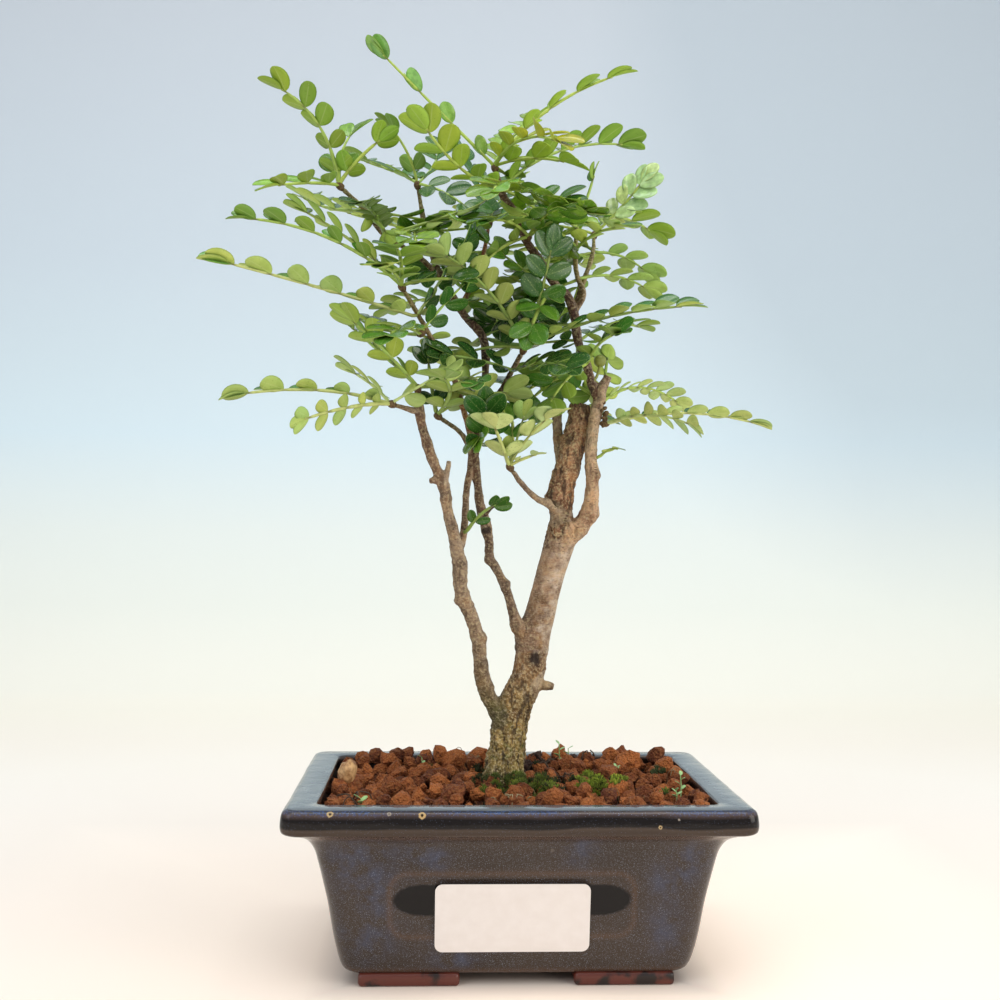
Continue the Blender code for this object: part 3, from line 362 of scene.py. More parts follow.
for side in (-1, 1):
    bpy.ops.mesh.primitive_cylinder_add(
        radius=DRAIN_RADIUS * MM, depth=20 * MM, vertices=40,
        location=((POT_CENTRE.x + side * DRAIN_X) * MM, POT_CENTRE.y * MM, 8 * MM),
    )
    drain = bpy.context.object
    add_modifier(pot, "BOOLEAN", operation="DIFFERENCE", object=drain, solver="EXACT")
    bpy.data.objects.remove(drain)

feet = []
for side_x in (-1, 1):
    for side_y in (-1, 1):
        bpy.ops.mesh.primitive_cube_add(size=MM, location=(
            (POT_CENTRE.x + side_x * FOOT_CENTRE[0]) * MM, (POT_CENTRE.y + side_y * FOOT_CENTRE[1]) * MM,
            FOOT_SIZE[2] / 2 * MM,
        ))
        foot = bpy.context.object
        foot.scale = FOOT_SIZE
        bpy.ops.object.transform_apply(scale=True)
        bpy.ops.object.mode_set(mode="EDIT")
        bpy.ops.mesh.select_all(action="SELECT")
        bpy.ops.mesh.subdivide(number_cuts=1)
        bpy.ops.object.mode_set(mode="OBJECT")
        add_modifier(foot, "BEVEL", width=1.3 * MM, segments=4, limit_method="ANGLE")
        foot.data.materials.append(bare_clay)
        feet.append(foot)
pick(pot, *feet)
bpy.ops.object.join()
bpy.ops.object.shade_smooth_by_angle(angle=math.radians(40))
settle(pot, "glazed_pot", "glazed_stoneware", "pot")


# ---- Drain nets
# Two squares of black plastic net, cut from a roll and laid over the drain holes, so that the granules
# don't fall through.
net_plastic, tree, shader, spot = new_material("black_polyethylene_net", 0.45)
grain = add_node(tree, "TexNoise", {"Vector": spot, "Scale": 900.0, "Detail": 3.0}).outputs["Fac"]
black = add_node(tree, "Mix", {0: grain, 6: hex_colour("#111112"), 7: hex_colour("#262627")}, data_type="RGBA")
tree.links.new(black.outputs[2], shader.inputs["Base Color"])
for side, name in ((-1, "left"), (1, "right")):
    bpy.ops.mesh.primitive_grid_add(
        x_subdivisions=12, y_subdivisions=12, size=22.4 * MM,
        location=((POT_CENTRE.x + side * DRAIN_X) * MM, POT_CENTRE.y * MM, 12.65 * MM),
    )
    net = bpy.context.object
    add_modifier(net, "WIREFRAME", thickness=0.55 * MM, use_boundary=True)
    net.data.materials.append(net_plastic)
    settle(net, "drain_net_" + name, "black_net", "drain_mesh_" + name)


# ---- Soil
# Fired red clay granules, sieved to 5 to 9 mm, poured round the roots up to the lip. They are porous and
# dusty, with broken corners, and lie in each other's gaps.
SOIL_BOTTOM, SOIL_TOP = 13.3, 53.5
HOLE_CENTRE, HOLE_RADIUS, HOLE_BOTTOM = (-3.0, 0.0), 9.8, 37.4

# Fired clay granules: brick-red and matt, each lump a little lighter or darker, with dusty crumbs. Lumps lying low
# in the gaps, and the block beneath them, are darkened towards near-black as painted shade.
granules, tree, shader, spot = new_material("fired_clay_granules", 0.95)
shade = add_node(tree, "Attribute", attribute_name="lump_shade").outputs["Fac"]
crumb = add_node(tree, "TexNoise", {"Vector": spot, "Scale": 700.0, "Detail": 6.0, "Roughness": 0.7}).outputs["Fac"]
pit = add_node(tree, "TexVoronoi", {"Vector": spot, "Scale": 1100.0}).outputs["Distance"]
lump = add_node(tree, "Mix", {0: shade, 6: hex_colour("#6c3519"), 7: hex_colour("#bc6c34")}, data_type="RGBA")
# Painted shade: lump_shade below zero darkens the colour towards near-black.
deep = add_node(tree, "MapRange", {0: shade, 1: 0.0, 2: -0.5}).outputs[0]
lump = add_node(tree, "Mix", {0: deep, 6: lump.outputs[2], 7: hex_colour("#1f0e08")}, data_type="RGBA")
dusty = add_node(tree, "MapRange", {0: crumb, 1: 0.48, 2: 0.75, 3: 0.0, 4: 0.7}).outputs[0]
pale = add_node(tree, "Mix", {0: dusty, 6: lump.outputs[2], 7: hex_colour("#bd8048")}, data_type="RGBA")
dark = add_node(tree, "MapRange", {0: crumb, 1: 0.45, 2: 0.3, 3: 0.0, 4: 0.8}).outputs[0]
baked = add_node(tree, "Mix", {0: dark, 6: pale.outputs[2], 7: hex_colour("#3a180d")}, data_type="RGBA")
tree.links.new(baked.outputs[2], shader.inputs["Base Color"])
knobs = add_node(tree, "TexNoise", {"Vector": spot, "Scale": 420.0, "Detail": 3.0}).outputs["Fac"]
relief = add_node(tree, "Math", {0: crumb, 1: pit}, operation="ADD").outputs[0]
relief = add_node(tree, "Math", {0: knobs, 1: 1.6, 2: relief}, operation="MULTIPLY_ADD").outputs[0]
bump = add_node(tree, "Bump", {"Height": relief, "Strength": 1.0, "Distance": 0.0012})
tree.links.new(bump.outputs[0], shader.inputs["Normal"])

lumps = []
draw = random.Random(4)
for kind in range(8):
    bpy.ops.mesh.primitive_ico_sphere_add(subdivisions=2, radius=1.0)
    lump = bpy.context.object
    cuts = [(Vector([draw.gauss(0, 1) for _ in range(3)]).normalized(), draw.uniform(0.55, 0.85)) for _ in range(9)]
    for corner in lump.data.vertices:
        for way, reach in cuts:
            over = corner.co.dot(way) - reach
            if over > 0:
                corner.co -= way * over * 0.85
        corner.co *= 1.12 + 0.3 * noise.noise(corner.co * 1.6 + Vector((kind * 7.3, 0, 0)))
        corner.co *= 1.0 + 0.3 * noise.noise(corner.co * 3.6 + Vector((0, kind * 5.1, 0)))
    lumps.append(lump)


def rest_height(x, y, size, laid, ground):
    """The height at which a lump comes to rest on those already laid."""
    z = ground + size * 0.5
    for other_x, other_y, other_z, other_size in laid:
        apart = (x - other_x) ** 2 + (y - other_y) ** 2
        touch = (0.9 * (size + other_size)) ** 2
        if apart < touch:
            z = max(z, other_z + math.sqrt(touch - apart) * 0.8)
    return z


draw = random.Random(11)
soil_top = np.interp(SOIL_TOP, [p[1] for p in POT_INNER[::-1]], [p[0] for p in POT_INNER[::-1]])
reach_x, reach_y = soil_top - 2.6, soil_top - DEPTH_LESS - 2.6
laid = []
for step, small, large, share in ((6.2, 2.6, 3.6, 1.0), (7.4, 2.8, 4.4, 1.0), (8.5, 1.6, 3.6, 0.6)):
    rows = int(2 * reach_y / (step * 0.87))
    columns = int(2 * reach_x / step)
    for row in range(rows + 1):
        for column in range(columns + 1):
            x = -reach_x + (column + 0.5 * (row % 2)) * 2 * reach_x / columns + draw.uniform(-1.8, 1.8)
            y = -reach_y + row * 2 * reach_y / rows + draw.uniform(-1.8, 1.8)
            size = draw.uniform(small, large)
            if draw.random() > share:
                continue
            x = min(max(x, size - reach_x - 2.2), reach_x + 2.2 - size)
            y = min(max(y, size - reach_y - 2.2), reach_y + 2.2 - size)
            if math.hypot(x - HOLE_CENTRE[0], y - HOLE_CENTRE[1]) < 7.6 + size * 0.6:
                continue
            top = 60.2 + 2.0 * noise.noise(Vector((x / 16, y / 16, 2.0))) + (1.5 if y > 22 else 0.0)
            z = rest_height(x, y, size, laid, SOIL_TOP)
            if z - size * 0.3 > top:
                continue
            laid.append((x, y, min(z, top + draw.uniform(-0.5, 1.0)), size))
stones, shades = [], []
for x, y, z, size in laid:
    source = draw.choice(lumps)
    stone = source.copy()
    stone.data = source.data.copy()
    stone.location = ((x + POT_CENTRE.x) * MM, (y + POT_CENTRE.y) * MM, z * MM)
    stone.rotation_euler = Euler([draw.uniform(0, 6.28) for _ in range(3)])
    stone.scale = [size * MM * draw.uniform(0.82, 1.12) for _ in range(3)]
    bpy.context.scene.collection.objects.link(stone)
    stones.append(stone)
    shade = draw.random()
    turned = stone.rotation_euler.to_matrix()
    for corner in stone.data.vertices:
        low = z + (turned @ corner.co).z * size
        # Painted shade: points lying below the top layer are darkened, so the gaps between lumps read as shadowed.
        shades.append(shade - 0.8 * min(max((58.8 - low) / 5.0, 0.0), 1.0))
for lump in lumps:
    bpy.data.objects.remove(lump)
pick(*stones)
bpy.ops.object.join()
bed = bpy.context.object
store(bed, "lump_shade", shades)
bed.data.materials.append(granules)
bpy.ops.object.shade_smooth_by_angle(angle=math.radians(35))

rings = []
inner = POT_INNER[::-1]
for z in (SOIL_BOTTOM, 16.0, 48.0, SOIL_TOP):
    half_x, corner = (np.interp(z, [p[1] for p in inner], [p[k] for p in inner]) for k in (0, 2))
    rings.append([p for p in pot_ring(half_x - 0.4, z, corner - 0.4)][::4])
count = len(rings[0])
block_points = [p for ring in rings for p in ring]
block_faces = [tuple(range(count - 1, -1, -1)), tuple(range(3 * count, 4 * count))]
for level in range(3):
    for i in range(count):
        j = (i + 1) % count
        low, high = level * count, (level + 1) * count
        block_faces.append((low + i, low + j, high + j, high + i))
block = add_mesh("soil_block", block_points, block_faces, [granules])
bpy.ops.mesh.primitive_cylinder_add(
    radius=HOLE_RADIUS * MM, depth=40 * MM, vertices=48,
    location=((POT_CENTRE.x + HOLE_CENTRE[0]) * MM, POT_CENTRE.y * MM, (HOLE_BOTTOM + 20) * MM),
)
hole = bpy.context.object
add_modifier(block, "BOOLEAN", operation="DIFFERENCE", object=hole, solver="EXACT")
bpy.data.objects.remove(hole)
# Painted shade: the block under the lumps gets the darkest value.
store(block, "lump_shade", [-0.8] * len(block.data.vertices))
pick(bed, block)
bpy.ops.object.join()
settle(bed, "granules", "fired_clay_granules", "soil")


# ---- Label
# A white sticker of coated paper with round corners, pressed on the pot's front wall. It is bare.
LABEL_SIZE, LABEL_CENTRE = (50.7, 23.2), (-1.9, 23.5)

# Coated paper: white and smooth with a faint satin shine and a slight waviness.
paper, tree, shader, spot = new_material("coated_label_paper", 0.38, IOR=1.45)
fibre = add_node(tree, "TexNoise", {"Vector": spot, "Scale": 260.0, "Detail": 6.0}).outputs["Fac"]
white = add_node(tree, "Mix", {0: fibre, 6: hex_colour("#ddd6d1"), 7: hex_colour("#e9e4e1")}, data_type="RGBA")
tree.links.new(white.outputs[2], shader.inputs["Base Color"])
wave = add_node(tree, "TexNoise", {"Vector": spot, "Scale": 55.0, "Detail": 1.0}).outputs["Fac"]
bump = add_node(tree, "Bump", {"Height": wave, "Strength": 0.15, "Distance": 0.001})
tree.links.new(bump.outputs[0], shader.inputs["Normal"])

bpy.ops.mesh.primitive_plane_add(size=MM)
label = bpy.context.object
label.scale = (LABEL_SIZE[0], LABEL_SIZE[1], 1.0)
bpy.ops.object.transform_apply(scale=True)
bpy.ops.object.mode_set(mode="EDIT")
bpy.ops.mesh.select_all(action="SELECT")
bpy.ops.mesh.bevel(offset=2.5 * MM, segments=6, affect="VERTICES")
bpy.ops.object.mode_set(mode="OBJECT")
for cut in range(1, 12):
    low = (cut / 12 - 0.5) * LABEL_SIZE[1] * MM
    bpy.ops.object.mode_set(mode="EDIT")
    bpy.ops.mesh.select_all(action="SELECT")
    bpy.ops.mesh.bisect(plane_co=(0, low, 0), plane_no=(0, 1, 0))
    bpy.ops.object.mode_set(mode="OBJECT")
for corner in label.data.vertices:
    x, z = corner.co.x / MM + LABEL_CENTRE[0], corner.co.y / MM + LABEL_CENTRE[1]
    wall = np.interp(z, [p[1] for p in POT_OUTER], [p[0] - DEPTH_LESS for p in POT_OUTER])
    corner.co = Vector((x + POT_CENTRE.x, -wall - 0.5 + POT_CENTRE.y, z)) * MM
add_modifier(label, "SOLIDIFY", thickness=0.16 * MM, offset=0.0)
label.data.materials.append(paper)
pick(label)
bpy.ops.object.shade_smooth_by_angle(angle=math.radians(40))
settle(label, "paper_label", "label_paper", "label")


# ---- Moss, weeds and litter
# What has grown on the granules or fallen there: cushions of green and of dark moss, small seedlings, dry
# roots and straws, a tan seed husk and a dead sprig behind the trunk.
bed_shape = bpy.data.objects["granules"].data
bed_tree = BVHTree.FromPolygons([v.co[:] for v in bed_shape.vertices], [p.vertices[:] for p in bed_shape.polygons])


def ground_at(x, y):
    """The height of the granules at a place, in millimetres."""
    start = Vector(((x + POT_CENTRE.x) * MM, (y + POT_CENTRE.y) * MM, 0.1))
    hit = bed_tree.ray_cast(start, Vector((0, 0, -1)))[0]
    return hit.z / MM if hit else SOIL_TOP


# Living moss: soft, bright and velvety, paler at its tips and dark inside.
moss_green, tree, shader, spot = new_material("living_moss", 0.85)
tone = add_node(tree, "Attribute", attribute_name="moss_tone").outputs["Color"]
tuft_noise = add_node(tree, "TexNoise", {"Vector": spot, "Scale": 900.0, "Detail": 2.0}).outputs["Fac"]
deep_moss = add_node(tree, "Mix", {0: tuft_noise, 6: hex_colour("#343f10"), 7: tone}, data_type="RGBA")
tree.links.new(deep_moss.outputs[2], shader.inputs["Base Color"])

draw = random.Random(17)
blades = []
for blade in range(9):
    bpy.ops.mesh.primitive_cone_add(vertices=3, radius1=0.42, depth=2.0, location=(0, 0, 0.7))
    stem = bpy.context.object
    bpy.ops.object.transform_apply(location=True)
    lean = Euler((draw.uniform(-0.9, 0.9), draw.uniform(-0.9, 0.9), draw.uniform(0, 6.28)))
    for corner in stem.data.vertices:
        corner.co.rotate(lean)
        corner.co += Vector((draw.uniform(-0.02, 0.02), draw.uniform(-0.02, 0.02), 0))
    blades.append(stem)
pick(*blades)
bpy.ops.object.join()
tuft = bpy.context.object
bpy.ops.object.transform_apply(location=True, rotation=True, scale=True)

MOSS_PATCHES = [
    (29.5, -9.0, 3.2, 7.0, 90, "#c8e048"), (34.0, -18.0, 5.5, 4.5, 110, "#cce44a"), (26.0, -15.0, 4.5, 3.5, 80, "#b8d03e"),
    (29.0, 4.0, 2.5, 5.0, 40, "#b4cc40"), (1.5, -15.0, 9.5, 5.5, 150, "#7c8c2e"), (-5.5, -20.5, 6.5, 5.5, 100, "#9aac36"),
    (10.5, -8.0, 5.5, 7.0, 90, "#4c5520"), (10.5, -19.0, 6.0, 5.0, 80, "#98aa36"), (-11.0, -9.0, 4.0, 5.0, 40, "#4c5420"),
    (19.0, -6.0, 5.0, 6.0, 50, "#38391c"), (52.0, 2.0, 5.5, 3.0, 30, "#44502a"), (-14.0, 12.0, 5.0, 4.0, 30, "#3c4220"),
    (-31.0, 22.0, 4.0, 3.0, 10, "#56701f"), (48.0, -28.0, 3.5, 2.5, 12, "#7f9a30"), (4.0, 16.0, 6.0, 4.0, 30, "#2c2618"),
]
tufts = []
for x, y, wide, deep, many, code in MOSS_PATCHES:
    for _ in range(many):
        turn, out = draw.uniform(0, 6.28), math.sqrt(draw.random())
        spot_x, spot_y = x + wide * out * math.cos(turn), y + deep * out * math.sin(turn)
        if math.hypot(spot_x - HOLE_CENTRE[0], spot_y - HOLE_CENTRE[1]) < 8.2:
            continue
        clump = tuft.copy()
        clump.data = tuft.data.copy()
        place = Vector((spot_x, spot_y, ground_at(spot_x, spot_y) - 0.1)) + POT_CENTRE
        clump.location = place * MM
        clump.rotation_euler = (draw.uniform(-0.4, 0.4), draw.uniform(-0.4, 0.4), draw.uniform(0, 6.28))
        clump.scale = [draw.uniform(0.9, 1.4) * MM] * 3
        bpy.context.scene.collection.objects.link(clump)
        light, dead = draw.uniform(0.55, 1.3), draw.random() < 0.16
        colour = np.array(hex_colour("#3a2b18" if dead else code)) * light
        share = [min(max(corner.co.z / 1.5, 0.0), 1.0) for corner in clump.data.vertices]
        store(clump, "moss_tone", [np.clip(colour * (0.12 + 1.05 * s), 0.0, 1.0) for s in share], "FLOAT_COLOR")
        tufts.append(clump)
bpy.data.objects.remove(tuft)
pick(*tufts)
bpy.ops.object.join()
moss = bpy.context.object
moss.data.materials.append(moss_green)
settle(moss, "moss_cushions", "leaf_green")


def add_thread(points, thick, taper=0.5, sides=1):
    """A thin bent stem through points in millimetres about the pot's centre, as a mesh."""
    bpy.ops.object.select_all(action="DESELECT")
    bpy.ops.curve.primitive_bezier_curve_add(location=(0, 0, 0))
    thread = bpy.context.object
    spline = thread.data.splines[0]
    spline.bezier_points.add(len(points) - 2)
    for i, (knot, p) in enumerate(zip(spline.bezier_points, points)):
        knot.co = (Vector(p) + POT_CENTRE) * MM
        knot.radius = 1.0 - (1.0 - taper) * i / (len(points) - 1)
        knot.handle_left_type = knot.handle_right_type = "AUTO"
    thread.data.dimensions = "3D"
    thread.data.resolution_u = 5
    thread.data.bevel_depth = thick * MM
    thread.data.bevel_resolution = sides
    thread.data.use_fill_caps = True
    bpy.ops.object.convert(target="MESH")
    return bpy.context.object


# Dry straw and root: dull, fibrous and pale brown to black where it has rotted.
dry_root, tree, shader, spot = new_material("dry_root_fibre", 0.8)
tone = add_node(tree, "Attribute", attribute_name="root_tone").outputs["Color"]
fibres = add_node(tree, "TexNoise", {"Vector": spot, "Scale": 800.0, "Detail": 4.0}).outputs["Fac"]
fibrous = add_node(tree, "Mix", {0: fibres, 6: tone, 7: hex_colour("#5b4632")}, data_type="RGBA")
tree.links.new(fibrous.outputs[2], shader.inputs["Base Color"])

draw = random.Random(29)
threads = []
ROOT_SPOTS = [
    (-1.5, -32.0, 11.0, 0.22, "#c9b98c", 6), (5.5, -14.0, 10.0, 0.2, "#bfae82", 5), (-22.0, 27.0, 9.0, 0.12, "#6f5a44", 9),
    (62.0, -14.0, 8.0, 0.12, "#7c664c", 7), (9.0, 22.0, 9.0, 0.5, "#2b1d17", 14), (14.0, 29.0, 9.0, 0.4, "#2f1f18", 12),
    (31.0, 31.0, 8.0, 0.3, "#2f1f18", 6), (18.0, 4.0, 9.0, 0.3, "#2b1f18", 9), (-14.0, 27.0, 8.0, 0.16, "#a8926a", 8),
    (-52.0, -38.0, 9.0, 0.3, "#33231a", 5), (8.0, -22.0, 9.0, 0.2, "#c2b07c", 5), (60.0, 2.0, 7.0, 0.12, "#b8a47c", 5),
    (-40.0, -5.0, 7.0, 0.14, "#7c664c", 3), (40.0, -30.0, 8.0, 0.14, "#9a835f", 3), (-58.0, -20.0, 8.0, 0.13, "#8a7350", 4),
    (4.0, 14.0, 8.0, 0.3, "#3f2a1f", 5),
]
for x, y, length, thick, code, many in ROOT_SPOTS:
    for _ in range(many):
        start_x, start_y = x + draw.uniform(-4, 4), y + draw.uniform(-3, 3)
        turn = draw.uniform(0, 6.28)
        points = []
        for step in range(4):
            turn += draw.uniform(-0.6, 0.6)
            px = start_x + length * step / 3 * math.cos(turn) * 0.6
            py = start_y + length * step / 3 * math.sin(turn) * 0.4
            px, py = min(max(px, -63.0), 63.0), min(max(py, -42.5), 42.5)
            lifted = 0 < step < 3 and thick < 0.18 or thick > 0.25
            rise = draw.uniform(0.0, 0.3) * length if lifted else 0.4
            points.append((px, py, ground_at(px, py) + rise * 0.6))
        thread = add_thread(points, thick * draw.uniform(0.8, 1.2))
        light = draw.uniform(0.8, 1.2)
        colour = [min(c * light, 1.0) for c in hex_colour(code)[:3]] + [1.0]
        store(thread, "root_tone", [colour] * len(thread.data.vertices), "FLOAT_COLOR")
        threads.append(thread)
pick(*threads)
bpy.ops.object.join()
roots = bpy.context.object
roots.data.materials.append(dry_root)
bpy.ops.object.shade_smooth()
settle(roots, "dry_roots", "bark")

# Seedlings: thin pale stems with soft round seed leaves, no taller than the rim.
seedling_green, tree, shader, spot = new_material("seedling_leaf", 0.45)
tender = add_node(tree, "TexNoise", {"Vector": spot, "Scale": 500.0, "Detail": 2.0}).outputs["Fac"]
tender_mix = add_node(tree, "Mix", {0: tender, 6: hex_colour("#86b566"), 7: hex_colour("#b6d79a")}, data_type="RGBA")
tree.links.new(tender_mix.outputs[2], shader.inputs["Base Color"])

SEEDLINGS = [(20.0, 34.0, 67.5, 4, 1.6), (57.0, -21.0, 66.0, 4, 1.5), (54.0, -29.0, 62.5, 4, 1.4), (23.5, 33.0, 66.0, 4, 1.5),
             (38.5, 8.0, 63.5, 4, 1.3), (-33.0, 24.0, 64.0, 3, 1.2), (-52.0, -39.5, 61.8, 3, 1.8)]
growth = []
for x, y, top, many, size in SEEDLINGS:
    foot = min(ground_at(x, y), top - 2.0)
    tall = top - foot
    growth.append(add_thread([(x, y, foot - 0.5), (x + 0.4, y, foot + tall * 0.5), (x + 0.1, y, foot + tall)], 0.22, 0.8))
    for i in range(many):
        bpy.ops.object.select_all(action="DESELECT")
        bpy.ops.mesh.primitive_circle_add(vertices=10, radius=1.0, fill_type="NGON")
        seed_leaf = bpy.context.object
        for corner in seed_leaf.data.vertices:
            corner.co = Vector((corner.co.x * 1.25 + 1.25, corner.co.y * 0.75, -0.12 * corner.co.x ** 2))
        bpy.ops.object.mode_set(mode="EDIT")
        bpy.ops.mesh.select_all(action="SELECT")
        bpy.ops.mesh.inset(thickness=0.25)
        bpy.ops.object.mode_set(mode="OBJECT")
        add_modifier(seed_leaf, "SOLIDIFY", thickness=0.14, offset=0.0)
        up = foot + tall * (0.35 + 0.65 * (i + 1) / many)
        seed_leaf.location = (Vector((x + 0.2, y, up)) + POT_CENTRE) * MM
        seed_leaf.rotation_euler = (0.3, -0.5, 2.4 * i + x)
        seed_leaf.scale = [size * 0.62 * MM] * 3
        growth.append(seed_leaf)
pick(*growth)
bpy.ops.object.join()
seedlings = bpy.context.object
seedlings.data.materials.clear()
seedlings.data.materials.append(seedling_green)
bpy.ops.object.shade_smooth()
settle(seedlings, "seedlings", "leaf_bright")

# Seed husk: a dry tan shell, papery, wrinkled and paler on its ridges.
husk_shell, tree, shader, spot = new_material("dry_seed_husk", 0.55)
papery = add_node(tree, "TexNoise", {"Vector": spot, "Scale": 480.0, "Detail": 4.0}).outputs["Fac"]
ridges = add_node(tree, "MapRange", {0: papery, 1: 0.36, 2: 0.6}).outputs[0]
papery_mix = add_node(tree, "Mix", {0: ridges, 6: hex_colour("#8f5c30"), 7: hex_colour("#dcb27c")}, data_type="RGBA")
tree.links.new(papery_mix.outputs[2], shader.inputs["Base Color"])
bump = add_node(tree, "Bump", {"Height": papery, "Strength": 0.5, "Distance": 0.0005})
tree.links.new(bump.outputs[0], shader.inputs["Normal"])

husks = []
for x, y, size, turn in ((-58.6, -8.5, 4.9, 1.9), (8.7, 27.0, 1.8, 1.9), (27.0, 30.0, 1.5, 0.4)):
    bpy.ops.object.select_all(action="DESELECT")
    bpy.ops.mesh.primitive_uv_sphere_add(segments=20, ring_count=12, radius=1.0)
    husk = bpy.context.object
    for corner in husk.data.vertices:
        corner.co.x += 0.25 * corner.co.x * abs(corner.co.x)
        corner.co *= 1.0 + 0.22 * noise.noise(corner.co * 1.5) + 0.1 * noise.noise(corner.co * 5.0)
    husk.scale = (0.85 * size * MM, 0.62 * size * MM, 0.8 * size * MM)
    husk.rotation_euler = (0.3, 0.9, turn)
    husk.location = (Vector((x, y, ground_at(x, y) + size * 0.45)) + POT_CENTRE) * MM
    husks.append(husk)
pick(*husks)
bpy.ops.object.join()
husk = bpy.context.object
husk.data.materials.append(husk_shell)
bpy.ops.object.shade_smooth_by_angle(angle=math.radians(50))
settle(husk, "seed_husks", "bark")

# Crumbs of rotten bark behind the trunk: nearly black, soft and broken.
rotten_bark, tree, shader, spot = new_material("rotten_bark", 0.9)
crumbly = add_node(tree, "TexNoise", {"Vector": spot, "Scale": 900.0, "Detail": 4.0}).outputs["Fac"]
crumbly_mix = add_node(tree, "Mix", {0: crumbly, 6: hex_colour("#140c08"), 7: hex_colour("#4a2e20")}, data_type="RGBA")
tree.links.new(crumbly_mix.outputs[2], shader.inputs["Base Color"])
bump = add_node(tree, "Bump", {"Height": crumbly, "Strength": 0.8, "Distance": 0.0006})
tree.links.new(bump.outputs[0], shader.inputs["Normal"])
draw = random.Random(5)
crumbs = []
for x, y, many, heap in ((9.0, 21.0, 22, 6.5), (11.5, 26.0, 10, 3.5), (26.5, 31.0, 6, 2.0), (5.0, 15.0, 5, 1.0)):
    for step in range(many):
        up = step / many
        bpy.ops.object.select_all(action="DESELECT")
        bpy.ops.mesh.primitive_ico_sphere_add(subdivisions=3, radius=1.0)
        crumb = bpy.context.object
        shift = Vector((draw.uniform(0, 50), 0.0, 0.0))
        for corner in crumb.data.vertices:
            corner.co *= 1.0 + 0.5 * noise.noise(corner.co * 1.3 + shift) + 0.25 * noise.noise(corner.co * 4.0 + shift)
        size = draw.uniform(0.9, 1.9)
        crumb.scale = (size * MM * draw.uniform(0.8, 1.5), size * MM, size * MM * draw.uniform(0.6, 1.2))
        crumb.rotation_euler = (draw.uniform(-0.6, 0.6), draw.uniform(-0.6, 0.6), draw.uniform(0, 3.14))
        spot_x = x + draw.uniform(-3.2, 3.2) * (1.0 - 0.75 * up)
        spot_y = y + draw.uniform(-2.4, 2.4) * (1.0 - 0.75 * up)
        high = ground_at(spot_x, spot_y) + 0.5 * size + heap * up
        crumb.location = (Vector((spot_x, spot_y, high)) + POT_CENTRE) * MM
        crumbs.append(crumb)
pick(*crumbs)
bpy.ops.object.join()
crumb = bpy.context.object
crumb.data.materials.append(rotten_bark)
bpy.ops.object.shade_smooth_by_angle(angle=math.radians(40))
settle(crumb, "bark_crumbs", "bark")


